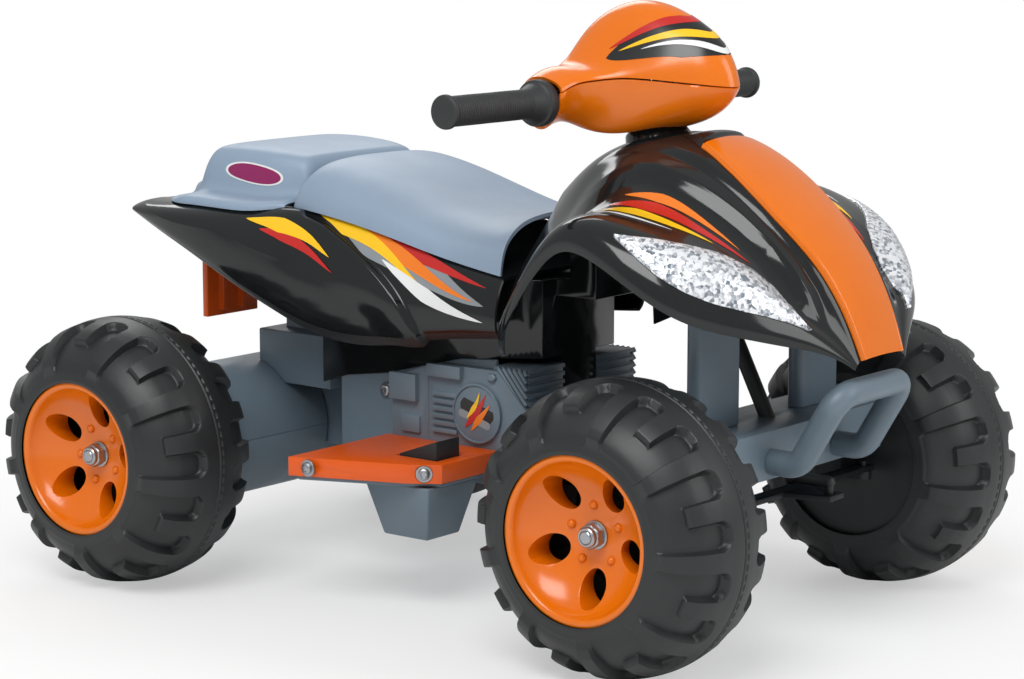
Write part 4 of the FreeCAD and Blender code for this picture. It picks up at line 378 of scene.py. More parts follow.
def grid_faces(rows: int, columns: int, ring: bool = False, start: int = 0, flip: bool = False) -> np.ndarray:
    """Give the four-sided faces of a grid of points.

    Args:
        rows: number of rows.
        columns: number of points in a row.
        ring: whether the last row joins the first.
        start: number of the first point.
        flip: whether to turn the faces over.

    Returns:
        One row of four point numbers for each face.
    """
    first = np.arange(rows if ring else rows - 1)[:, None] * columns + np.arange(columns - 1)[None, :]
    below = (first + columns) % (rows * columns)
    faces = np.stack([first, below, below + 1, first + 1], axis=-1).reshape(-1, 4) + start
    return faces[:, ::-1] if flip else faces


def shell_faces(rows: int, columns: int, flip: bool = False) -> np.ndarray:
    """Give the faces that close the space between two grids of like size.

    Args:
        rows: number of rows in each grid.
        columns: number of points in a row.
        flip: whether the faces turn over.

    Returns:
        One row of four point numbers for each face, the outer grid's points first.
    """
    count = rows * columns
    faces = [grid_faces(rows, columns, flip=flip), grid_faces(rows, columns, start=count, flip=not flip)]
    numbers = np.arange(count).reshape(rows, columns)
    edge = np.concatenate([numbers[0, :-1], numbers[:-1, -1], numbers[-1, :0:-1], numbers[:0:-1, 0]])
    ahead = np.roll(edge, -1)
    rim = np.stack([edge, ahead, ahead + count, edge + count], axis=-1)
    faces.append(rim[:, ::-1] if flip else rim)
    return np.concatenate(faces)


def shell_object(name: str, outer: np.ndarray, inner: np.ndarray, flip: bool = False,
                 crease: float = 35.0) -> bpy.types.Object:
    """Close the space between two grids of like size into one object.

    Args:
        name: the object's name.
        outer: outer grid of points in metres.
        inner: inner grid.
        flip: whether the faces turn over.
        crease: angle in degrees above which an edge stays sharp.

    Returns:
        The new object.
    """
    points = np.concatenate([outer.reshape(-1, 3), inner.reshape(-1, 3)])
    return mesh_object(name, points, shell_faces(*outer.shape[:2], flip=flip), crease)


def lathe_grid(profile: Sequence[tuple[float, float]], steps: int) -> np.ndarray:
    """Turn a profile of radius and height about Z.

    Args:
        profile: pairs in millimetres.
        steps: number of steps round the axis.

    Returns:
        A grid of points in metres, one row for each step.
    """
    angle = np.linspace(0, 2 * math.pi, steps, endpoint=False)[:, None]
    radius, height = np.array(profile, dtype=float).T * MM
    return np.stack([radius * np.cos(angle), radius * np.sin(angle), np.broadcast_to(height, (steps, len(radius)))],
                    axis=-1)


def move(points: np.ndarray, matrix: Matrix) -> np.ndarray:
    """Move points by a matrix."""
    turn = np.array(matrix.to_3x3())
    return points.reshape(-1, 3) @ turn.T + np.array(matrix.translation)


def add_grid(form: bmesh.types.BMesh, grid: np.ndarray, flip: bool = False) -> None:
    """Add a grid of points that closes into a ring to a form.

    Args:
        form: the form that gets the grid.
        grid: rows of points in metres.
        flip: whether the faces turn over.
    """
    corners = [form.verts.new(point) for point in grid.reshape(-1, 3)]
    for face in grid_faces(*grid.shape[:2], ring=True, flip=flip):
        form.faces.new([corners[number] for number in face])


def form_object(name: str, form: bmesh.types.BMesh, crease: float = 40.0) -> bpy.types.Object:
    """Make an object from a form and let the form go.

    Args:
        name: the object's name.
        form: the form, in place.
        crease: angle in degrees above which an edge stays sharp.

    Returns:
        The new object, linked to the scene.
    """
    mesh = bpy.data.meshes.new(name)
    form.to_mesh(mesh)
    form.free()
    return link_mesh(name, mesh, crease)


def clean(form: bmesh.types.BMesh, gap_mm: float = 0.001) -> None:
    """Join a form's points that lie together and turn its faces outward."""
    bmesh.ops.remove_doubles(form, verts=form.verts, dist=gap_mm * MM)
    bmesh.ops.recalc_face_normals(form, faces=form.faces)


def round_edges(form: bmesh.types.BMesh, edge_mm: float, angle: float, segments: int) -> None:
    """Round the sharp edges of a form.

    Args:
        form: the form to change.
        edge_mm: radius of the rounding.
        angle: angle in degrees above which an edge is rounded.
        segments: number of steps of the rounding.
    """
    edges = [edge for edge in form.edges
             if len(edge.link_faces) == 2 and edge.calc_face_angle(0) > math.radians(angle)]
    bmesh.ops.bevel(form, geom=edges, offset=edge_mm * MM, segments=segments, profile=0.5, affect="EDGES",
                    clamp_overlap=True)


def cut_away(body: bpy.types.Object, cutter: bpy.types.Object) -> bmesh.types.BMesh:
    """Cut one object out of another and let both go.

    Args:
        body: the object to cut.
        cutter: the closed object to cut away.

    Returns:
        The form that is left.
    """
    change = body.modifiers.new("cut", "BOOLEAN")
    change.operation = "DIFFERENCE"
    change.solver = "EXACT"
    change.object = cutter
    form = bmesh.new()
    form.from_object(body, bpy.context.evaluated_depsgraph_get())
    for made in (body, cutter):
        bpy.data.meshes.remove(made.data)
    return form


def rounded(node: str, edge_mm: float, angle: float = 28.0, segments: int = 2) -> bpy.types.Object:
    """Copy a node's shape and round its edges as a mould does.

    Args:
        node: the node to copy.
        edge_mm: radius of the rounding, or zero for none.
        angle: angle in degrees above which an edge is rounded.
        segments: number of steps of the rounding.

    Returns:
        The new object.
    """
    form = bmesh.new()
    form.from_mesh(frame["nodes"][node].data)
    form.transform(frame["nodes"][node].matrix_world)
    bmesh.ops.remove_doubles(form, verts=form.verts, dist=0.002 * MM)
    bmesh.ops.dissolve_limit(form, angle_limit=math.radians(0.6), verts=form.verts, edges=form.edges)
    if edge_mm:
        round_edges(form, edge_mm, angle, segments)
    bmesh.ops.recalc_face_normals(form, faces=form.faces)
    return form_object(f"{node}_piece", form)


def smooth_line(points: Sequence[tuple[float, float]], steps: int) -> np.ndarray:
    """Draw a smooth line through points, with even steps.

    Args:
        points: pairs to run through.
        steps: number of points on the line.

    Returns:
        The points of the line.
    """
    knots = np.array(points, dtype=float)
    padded = np.vstack([2 * knots[0] - knots[1], knots, 2 * knots[-1] - knots[-2]])
    dense = []
    for before, start, end, after in zip(padded, padded[1:], padded[2:], padded[3:]):
        for t in np.linspace(0, 1, 24, endpoint=False):
            dense.append(0.5 * (2 * start + (end - before) * t
                                + (2 * before - 5 * start + 4 * end - after) * t ** 2
                                + (3 * start - before - 3 * end + after) * t ** 3))
    dense.append(knots[-1])
    line = np.array(dense)
    reach = np.concatenate([[0], np.cumsum(np.linalg.norm(np.diff(line, axis=0), axis=1))])
    even = np.linspace(0, reach[-1], steps)
    return np.stack([np.interp(even, reach, line[:, axis]) for axis in range(line.shape[1])], axis=-1)


def ease(values: np.ndarray, low: float, high: float) -> np.ndarray:
    """Rise smoothly from zero at the low value to one at the high value."""
    share = np.clip((values - low) / (high - low), 0, 1)
    return share * share * (3 - 2 * share)


class Skin:
    """A smooth surface drawn by a net of points in millimetres, addressed by shares along and across."""

    DEGREE = 3
    STEP = 0.0015

    def __init__(self, net: Sequence[Sequence[tuple[float, float, float]]], outward: float = 1.0) -> None:
        """Keep the net.

        Args:
            net: rows of points in millimetres.
            outward: sign that makes the normals point out.
        """
        self.net = np.array(net, dtype=float) * MM
        self.outward = outward

    @classmethod
    def weights(cls, count: int, shares: np.ndarray) -> np.ndarray:
        """Weigh the net's points at some places.

        Args:
            count: number of points in the net's direction.
            shares: places from zero to one.

        Returns:
            One row of weights for each place.
        """
        spans = count - cls.DEGREE
        knots = np.concatenate([np.zeros(cls.DEGREE), np.arange(spans + 1), np.full(cls.DEGREE, spans)])
        place = np.clip(shares, 0, 1) * spans
        weights = np.zeros((len(place), len(knots) - 1))
        weights[np.arange(len(place)), np.minimum(place.astype(int), spans - 1) + cls.DEGREE] = 1
        for degree in range(1, cls.DEGREE + 1):
            raised = np.zeros_like(weights)
            for i in range(len(knots) - 1 - degree):
                rise = knots[i + degree] - knots[i]
                fall = knots[i + degree + 1] - knots[i + 1]
                if rise > 0:
                    raised[:, i] += (place - knots[i]) / rise * weights[:, i]
                if fall > 0:
                    raised[:, i] += (knots[i + degree + 1] - place) / fall * weights[:, i + 1]
            weights = raised
        return weights[:, :count]

    def plain(self, along: np.ndarray, across: np.ndarray) -> np.ndarray:
        """Give the net's points at shares along and across, without relief.

        Args:
            along: shares of the net's rows.
            across: shares of the net's columns, of the same shape.

        Returns:
            Points in metres.
        """
        rows = self.weights(self.net.shape[0], np.ravel(along))
        columns = self.weights(self.net.shape[1], np.ravel(across))
        return np.einsum("pi,pj,ijk->pk", rows, columns, self.net).reshape(*np.shape(along), 3)

    def relief(self, points: np.ndarray, along: np.ndarray, across: np.ndarray) -> np.ndarray:
        """Give the height of the surface over the net in millimetres."""
        return np.zeros(np.shape(along))

    def facing(self, source: Callable[[np.ndarray, np.ndarray], np.ndarray], along: np.ndarray,
               across: np.ndarray) -> np.ndarray:
        """Give the outward normals of a function that draws points.

        Args:
            source: gives points at shares along and across.
            along: shares of the net's rows.
            across: shares of the net's columns, of the same shape.

        Returns:
            Unit vectors.
        """
        step = self.STEP
        ahead = source(np.clip(along + step, 0, 1), across) - source(np.clip(along - step, 0, 1), across)
        aside = source(along, np.clip(across + step, 0, 1)) - source(along, np.clip(across - step, 0, 1))
        normal = np.cross(ahead, aside) * self.outward
        return normal / np.maximum(np.linalg.norm(normal, axis=-1, keepdims=True), 1e-12)

    def points(self, along: np.ndarray, across: np.ndarray) -> np.ndarray:
        """Give the surface's points with its relief, in metres."""
        base = self.plain(along, across)
        height = self.relief(base, along, across)
        return base + self.facing(self.plain, along, across) * (height * MM)[..., None] if height.any() else base

    def normals(self, along: np.ndarray, across: np.ndarray) -> np.ndarray:
        """Give the outward normals of the surface with its relief."""
        return self.facing(self.points, along, across)


@dataclass(frozen=True)
class Ribbon:
    """A tapered strip of printed film that lies on a skin.

    Attributes:
        finish: its film.
        line: shares along and across that its middle runs through.
        half_mm: half width where it is widest.
        start: share of its length over which it widens.
        end: share of its length over which it narrows.
        oval: whether it is an oval instead of a tapered strip.
    """

    finish: Moulded
    line: tuple[tuple[float, float], ...]
    half_mm: float
    start: float = 0.2
    end: float = 0.7
    oval: bool = False

    STEPS = 60
    COLUMNS = 9
    THICK_MM = 0.25
    # Height of the lowest strip over the skin, and of each strip over the one before
    LIFT_MM = 0.08
    LAYER_MM = 0.12
    LEAST_MM = 0.05

    def mirrored(self) -> "Ribbon":
        """Give the same strip on the other side of the centre line."""
        return replace(self, line=tuple((along, 1 - across) for along, across in self.line))

    def grids(self, skin: Skin, lift_mm: float) -> tuple[np.ndarray, np.ndarray]:
        """Lay the strip on a skin.

        Args:
            skin: the skin below.
            lift_mm: height of the strip's underside over the skin.

        Returns:
            The grids of its upper side and its underside.
        """
        share = np.linspace(0, 1, self.STEPS)
        line = smooth_line(self.line, self.STEPS)
        width = np.minimum(1, share / self.start) ** 0.7 * np.minimum(1, (1 - share) / self.end) ** 0.8
        if self.oval:
            turn = (1 - np.cos(np.pi * share)) / 2
            line = np.stack([np.interp(turn, share, column) for column in line.T], axis=1)
            width = np.sin(np.pi * share)
        along, across = line.T
        step = skin.STEP
        by_along = (skin.plain(along + step, across) - skin.plain(along - step, across)) / (2 * step)
        by_across = (skin.plain(along, across + step) - skin.plain(along, across - step)) / (2 * step)
        middle = skin.plain(along, across)
        side = np.cross(skin.facing(skin.plain, along, across), np.gradient(middle, axis=0))
        side /= np.linalg.norm(side, axis=1, keepdims=True)
        turns = np.stack([by_along, by_across], axis=-1)
        steps = np.einsum("nij,nj->ni", np.linalg.pinv(turns), side)
        half = np.maximum(width * self.half_mm, self.LEAST_MM)[:, None] * MM
        offset = half * np.linspace(-1, 1, self.COLUMNS)[None, :]
        along = np.clip(along[:, None] + steps[:, :1] * offset, 0, 1)
        across = np.clip(across[:, None] + steps[:, 1:] * offset, 0, 1)
        base = skin.points(along, across)
        normals = skin.facing(skin.plain, along, across)
        return base + normals * (lift_mm + self.THICK_MM) * MM, base + normals * lift_mm * MM


def film_object(name: str, skin: Skin, ribbons: Sequence[Ribbon], carrier: str) -> None:
    """Lay a group of printed strips on a skin, each over the one before.

    Args:
        name: the object's name.
        skin: the skin below.
        ribbons: the strips from the lowest.
        carrier: the node that carries the film.
    """
    finishes = list(dict.fromkeys(ribbon.finish for ribbon in ribbons))
    points, faces, kinds = [], [], []
    for number, ribbon in enumerate(ribbons):
        outer, inner = ribbon.grids(skin, ribbon.LIFT_MM + ribbon.LAYER_MM * number)
        faces.append(shell_faces(*outer.shape[:2]) + sum(len(part) for part in points))
        points.append(np.concatenate([outer.reshape(-1, 3), inner.reshape(-1, 3)]))
        kinds.extend([finishes.index(ribbon.finish)] * len(faces[-1]))
    piece = mesh_object(name, np.concatenate(points), np.concatenate(faces))
    piece.data.polygons.foreach_set("material_index", kinds)
    settle(piece, carrier, (), finishes)


def film_pair(stem: str, skin: Skin, ribbons: Sequence[Ribbon], carrier: str) -> None:
    """Lay strips on the right of a skin and their mirror images on its left.

    Args:
        stem: start of the two objects' names.
        skin: the skin below.
        ribbons: the right side's strips from the lowest.
        carrier: the node that carries the film.
    """
    film_object(f"{stem}_right", skin, ribbons, carrier)
    film_object(f"{stem}_left", skin, [ribbon.mirrored() for ribbon in ribbons], carrier)


def even_shares(rows: int, columns: int) -> tuple[np.ndarray, np.ndarray]:
    """Give even shares along and across a whole skin."""
    along, across = np.meshgrid(np.linspace(0, 1, rows), np.linspace(0, 1, columns), indexing="ij")
    return along, across


def mirrored_rows(table: Sequence[Sequence[tuple[float, float, float]]], rear: float, length: float, half: float,
                  foot: float, rise: float) -> list[list[tuple[float, float, float]]]:
    """Lay out a net on both sides of the centre line from rows of shares.

    Args:
        table: rows from the rear, each from the centre line to the lip, as shares.
        rear: rear end in millimetres.
        length: length that the first share follows.
        half: half width that the second share follows.
        foot: level that the third share starts from.
        rise: height that the third share follows.

    Returns:
        Rows of points, right side first.
    """
    net = []
    for row in table:
        points = [(rear + length * along, half * across, foot + rise * up) for along, across, up in row]
        net.append([(x, -y, z) for x, y, z in reversed(points[1:])] + points)
    return net


# Wheels

def box_distance(across: np.ndarray, reach: np.ndarray, half: float, low: float, high: float,
                 corner: float) -> np.ndarray:
    """Measure the distance to a flat box with round corners, negative inside it.

    Args:
        across: places from the box's middle line.
        reach: places along that line.
        half: the box's half width.
        low: where the box starts.
        high: where the box ends.
        corner: radius of its corners.

    Returns:
        The distances.
    """
    aside = np.abs(across) - half + corner
    ahead = np.abs(reach - (low + high) / 2) - (high - low) / 2 + corner
    inside = np.minimum(np.maximum(aside, ahead), 0)
    return np.hypot(np.maximum(aside, 0), np.maximum(ahead, 0)) + inside - corner


@dataclass
class Wheel:
    """A wheel: tyre with a middle band, long bars and short teeth, dished hub cap, core and lock nut.

    Attributes:
        end: end of the vehicle.
        side: side of the vehicle.
        bead_mm: radius where the tyre meets the hub.
        crown_mm: radius of the floor of the tread's pockets.
        half_mm: half of the tyre's width.
        lug_mm: height of the tread on the crown.
        bars: long bars in each row.
        pocket_share: half angle of a pocket as a share of its pitch.
        wall_mm: half width of a pocket's sloping wall.
        steps_round: steps of the tyre's grid round the axle.
    """

    end: End
    side: Side
    bead_mm: float = 63.5
    crown_mm: float = 103.0
    half_mm: float = 57.0
    lug_mm: float = 7.0
    bars: int = 9
    pocket_share: float = 0.275
    wall_mm: float = 1.0
    steps_round: int = 720

    TYRE_TURNS = {End.FRONT: 37.0, End.REAR: 32.0}
    HUB_TURNS = {End.FRONT: 22.0, End.REAR: -30.0}
    # Section from the bead to the crown: shares of the radial height and of the half width
    SECTION_SHARES = ((0.0, 0.95), (0.19, 0.99), (0.34, 0.965), (0.47, 0.91), (0.61, 0.825), (0.72, 0.74),
                      (0.823, 0.63), (0.886, 0.525), (0.95, 0.35), (1.0, 0.0))
    # Height of the tread: shares of the half width and of the height on the crown
    LUG_SHARES = ((0.0, 1.0), (0.14, 0.99), (0.25, 0.96), (0.35, 0.95), (0.53, 0.88), (0.63, 0.84), (0.74, 0.78),
                  (0.825, 0.74), (0.91, 0.68), (0.965, 0.52), (0.985, 0.22), (1.0, 0.0))
    # Places of a pocket's start, the end of the short teeth and a pocket's end, as shares of the half width
    POCKET_SHARES = (0.27, 0.76, 0.975)
    # The hub's bowl from its lip to its middle, then its back: radius and level from the wheel's middle plane
    BOWL_MM = ((63.2, 45.0), (63.2, 54.3), (62.5, 55.9), (60.6, 56.8), (58.6, 56.5), (57.3, 55.4), (56.5, 53.4),
               (55.2, 50.4), (53.0, 47.0), (47.0, 40.8), (38.0, 35.2), (28.0, 31.2), (20.0, 29.4), (14.0, 29.0),
               (5.3, 29.0), (5.3, 24.4), (15.0, 24.4), (18.0, 21.0), (54.0, 21.0), (58.0, 27.0), (61.0, 45.0))
    HUB_DEPTH_MM = 28.0
    SEAT_MM = 0.3
    NUT_FLATS_MM = 17.0
    # Mould seam beside the tyre's middle: a groove and a row of dashes, as level, half width and depth
    GROOVE_MM = (1.6, 0.7, 1.1)
    DASH_MM = (-1.8, 0.8, 1.3)
    DASH_PITCH_DEGREES = 4.0
    DASH_SHARE = 0.6
    HOLES = 5
    HOLE_PLACE_MM = 38.0
    HOLE_MM = (14.0, 11.0)
    STUD_PLACE_MM = 22.0
    STUD_MM = ((0.01, 28.0), (3.6, 28.0), (3.5, 30.2), (3.0, 31.5), (2.0, 32.4), (0.9, 32.9), (0.01, 33.0))

    @property
    def name(self) -> str:
        """Name the wheel's corner."""
        return f"{self.end.name.lower()}_{self.side.name.lower()}"

    @property
    def place(self) -> Matrix:
        """Give the matrix from the wheel's own axis, with +Z outward, to the vehicle."""
        low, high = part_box(f"tyre_{self.name}")
        turn = Matrix.Rotation(math.radians(-90 * self.side.value), 4, "X")
        return Matrix.Translation((low + high) / 2) @ turn

    def section(self) -> tuple[np.ndarray, np.ndarray]:
        """Draw the tyre's section, with finer steps at the mould's seam.

        Returns:
            Pairs of radius and level in millimetres, and the outward normals.
        """
        half = [(self.bead_mm + (self.crown_mm - self.bead_mm) * up, self.half_mm * out)
                for up, out in self.SECTION_SHARES]
        dense = smooth_line(half + [(radius, -out) for radius, out in reversed(half[:-1])], 1201)
        slope = np.gradient(dense, axis=0)
        normal = np.stack([-slope[:, 1], slope[:, 0]], axis=-1)
        normal /= np.linalg.norm(normal, axis=1, keepdims=True)
        fine = np.abs(dense[:, 1]) < 5.0
        chosen = np.arange(len(dense)) % 9 == 0
        chosen |= fine & (np.arange(len(dense)) % 2 == 0)
        chosen[-1] = True
        return dense[chosen], normal[chosen]

    def tread(self, angle: np.ndarray, reach: np.ndarray, stops: Sequence[float], row: int) -> np.ndarray:
        """Say how far the tread of one row stands out between its pockets.

        Args:
            angle: angles round the wheel in degrees.
            reach: distances from the seam in millimetres, along the section.
            stops: distances of a pocket's start, the short teeth's end and a pocket's end.
            row: zero for the outer row and one for the inner row.

        Returns:
            Values from zero to one.
        """
        pitch = 180 / self.bars
        arc = math.radians(self.crown_mm + self.lug_mm / 2)
        start, join, end = stops
        local = angle + self.side.value * self.TYRE_TURNS[self.end] - row * pitch / 2
        middle = (local % pitch - pitch / 2) * arc
        pocket = box_distance(middle, reach, self.pocket_share * pitch * arc, start, end, 7.5)
        short = (local % (2 * pitch) - pitch) * arc
        joint = box_distance(short, reach, (0.5 + self.pocket_share) * pitch * arc, join, end, 4.5)
        return ease(np.minimum(pocket, joint), -self.wall_mm, self.wall_mm)

    def tyre(self) -> bpy.types.Object:
        """Build the tyre.

        Returns:
            The tyre's object.
        """
        section, normal = self.section()
        level = section[:, 1]
        out = np.abs(level) / self.half_mm
        travel = np.concatenate([[0], np.cumsum(np.linalg.norm(np.diff(section, axis=0), axis=1))])
        reach = np.abs(travel - np.interp(0.0, -level, travel))
        outer = level >= 0
        order = np.argsort(out[outer])
        stops = np.interp(self.POCKET_SHARES, out[outer][order], reach[outer][order])
        angle = np.linspace(0, 360, self.steps_round, endpoint=False)[:, None]
        height = np.interp(out, *np.array(self.LUG_SHARES).T) * self.lug_mm
        rise = np.zeros((self.steps_round, len(section)))
        for row, chosen in enumerate((outer, ~outer)):
            rise[:, chosen] = self.tread(angle, reach[None, chosen], stops, row) * height[None, chosen]
        dashed = (angle / self.DASH_PITCH_DEGREES) % 1.0 < self.DASH_SHARE
        for (middle, half, depth), shown in ((self.GROOVE_MM, 1.0), (self.DASH_MM, dashed)):
            rise = rise - depth * shown * np.exp(-((level - middle) / half) ** 2)
        radius = (section[None, :, 0] + rise * normal[None, :, 0]) * MM
        height = (level[None, :] + rise * normal[None, :, 1]) * MM
        turn = np.radians(angle)
        points = np.stack([radius * np.cos(turn), radius * np.sin(turn), height], axis=-1)
        faces = grid_faces(self.steps_round, len(section), ring=True)
        return mesh_object(f"tyre_{self.name}_piece", move(points, self.place), faces, 60.0)

    def hub(self) -> bpy.types.Object:
        """Build the dished hub cap with its deep oval holes and its studs.

        Returns:
            The hub cap's object.
        """
        bowl = lathe_grid(self.BOWL_MM + self.BOWL_MM[:1], 120)
        form = bmesh.new()
        add_grid(form, bowl, flip=True)
        clean(form)
        body = form_object(f"hub_cap_{self.name}_piece", form)
        turn = math.radians(self.HUB_TURNS[self.end] * -self.side.value)
        cutters = bmesh.new()
        domes = []
        for number in range(self.HOLES):
            spoke = Matrix.Rotation(turn + math.pi * (2 * number + 1) / self.HOLES, 4, "Z")
            oval = lathe_grid(((0.0001, 10.0), (1.0, 10.0), (1.0, 60.0), (0.0001, 60.0)), 48)
            oval = oval * (self.HOLE_MM[0], self.HOLE_MM[1], 1.0) + (self.HOLE_PLACE_MM * MM, 0, 0)
            add_grid(cutters, move(oval, spoke).reshape(oval.shape))
            between = Matrix.Rotation(turn + 2 * math.pi * number / self.HOLES, 4, "Z")
            dome = lathe_grid(self.STUD_MM, 20) + (self.STUD_PLACE_MM * MM, 0, 0)
            domes.append(move(dome, between).reshape(dome.shape))
        clean(cutters, 0.02)
        carved = cut_away(body, form_object("hub_cutters", cutters))
        round_edges(carved, 1.0, 48.0, 2)
        for dome in domes:
            add_grid(carved, dome)
        carved.transform(self.place)
        bmesh.ops.recalc_face_normals(carved, faces=carved.faces)
        return form_object(f"hub_cap_{self.name}_piece", carved)

    def nut(self) -> tuple[np.ndarray, np.ndarray]:
        """Build the lock nut with its washer and the end of the axle.

        Returns:
            Points in the vehicle's frame and faces.
        """
        steps = 48
        face = self.half_mm - self.HUB_DEPTH_MM + self.SEAT_MM
        turn = np.linspace(0, 2 * math.pi, steps, endpoint=False)
        flat = self.NUT_FLATS_MM / 2 / np.cos((turn + math.pi / 6) % (math.pi / 3) - math.pi / 6)
        rings = [(5.0, 0.0), (10.5, 0.0), (10.5, 1.6), (9.9, 2.0), (8.6, 2.0), (flat * 0.99, 2.4), (flat, 3.2),
                 (flat, 7.6), (np.minimum(flat, 8.9), 8.6), (8.2, 9.2), (7.6, 9.4), (7.4, 12.0), (6.6, 12.8),
                 (5.4, 12.8), (5.2, 12.2), (4.9, 12.2), (4.9, 12.9), (4.2, 13.6), (1.4, 13.6), (0.01, 13.6)]
        points = np.stack([np.stack([ring * np.cos(turn), ring * np.sin(turn), 0 * turn + face + level], axis=-1)
                           for ring, level in rings], axis=1) * MM
        return move(points, self.place), grid_faces(steps, len(rings), ring=True, flip=True)

    def build(self) -> None:
        """Build and dress the wheel's pieces."""
        settle(self.tyre(), f"tyre_{self.name}", [f"tyre_{self.name}"])
        settle(self.hub(), f"hub_cap_{self.name}", [f"hub_cap_{self.name}"], [ORANGE_GLOSS])
        core = f"hub_core_{self.name}"
        settle(rounded(core, 0.8), core, [core], [TYRE_BLACK])


def build_wheels() -> None:
    """Build the four wheels and their lock nuts."""
    wheels = [Wheel(end, side) for end in End for side in Side]
    for wheel in wheels:
        wheel.build()
    for end in End:
        nuts = [wheel for wheel in wheels if wheel.end is end]
        if end is End.FRONT:
            for wheel in nuts:
                points, faces = wheel.nut()
                node = f"axle_nut_{wheel.name}"
                settle(mesh_object(f"{node}_piece", points, faces), node, [node])
            continue
        points, faces = zip(*(wheel.nut() for wheel in nuts))
        joined = np.concatenate([faces[0], faces[1] + len(points[0])])
        settle(mesh_object("axle_nuts_rear_piece", np.concatenate(points), joined), "axle_nuts_rear",
               ["axle_nuts_rear"])


# Front fairing

class FairingSkin(Skin):
    """The fairing's skin with the up-turned band, the ridge below it and the hollow for the film on each flank."""

    # Lines on the skin: shares along and, from the lip, across
    BAND_TOP_SHARES = ((0.11, 0.359), (0.24, 0.372), (0.33, 0.368), (0.42, 0.367), (0.51, 0.369), (0.6, 0.374),
                       (0.69, 0.374), (0.76, 0.369), (0.85, 0.347), (0.92, 0.303))
    BAND_FOOT_SHARES = ((0.11, 0.262), (0.21, 0.283), (0.28, 0.311), (0.35, 0.32), (0.44, 0.321), (0.53, 0.326),
                        (0.61, 0.33), (0.7, 0.328), (0.77, 0.316), (0.84, 0.293), (0.91, 0.253))
    # Section across the band: shares of its width from its foot, and height in millimetres
    BAND_SECTION = ((-2.6, 0.0), (-1.5, -2.2), (-0.9, -1.4), (-0.3, 2.2), (0.0, 2.9), (1.0, -1.6), (1.15, -1.4),
                    (1.7, 0.0))

    def relief(self, points: np.ndarray, along: np.ndarray, across: np.ndarray) -> np.ndarray:
        """Give the height of the band and its neighbours over the net.

        Args:
            points: the net's points.
            along: shares of the net's rows.
            across: shares of the net's columns.

        Returns:
            Heights in millimetres.
        """
        foot = np.interp(along, *np.array(self.BAND_FOOT_SHARES).T)
        top = np.interp(along, *np.array(self.BAND_TOP_SHARES).T)
        share = (0.5 - np.abs(across - 0.5) - foot) / (top - foot)
        strength = ease(along, 0.1, 0.24) * ease(-along, -0.93, -0.8)
        return np.interp(share, *np.array(self.BAND_SECTION).T) * strength


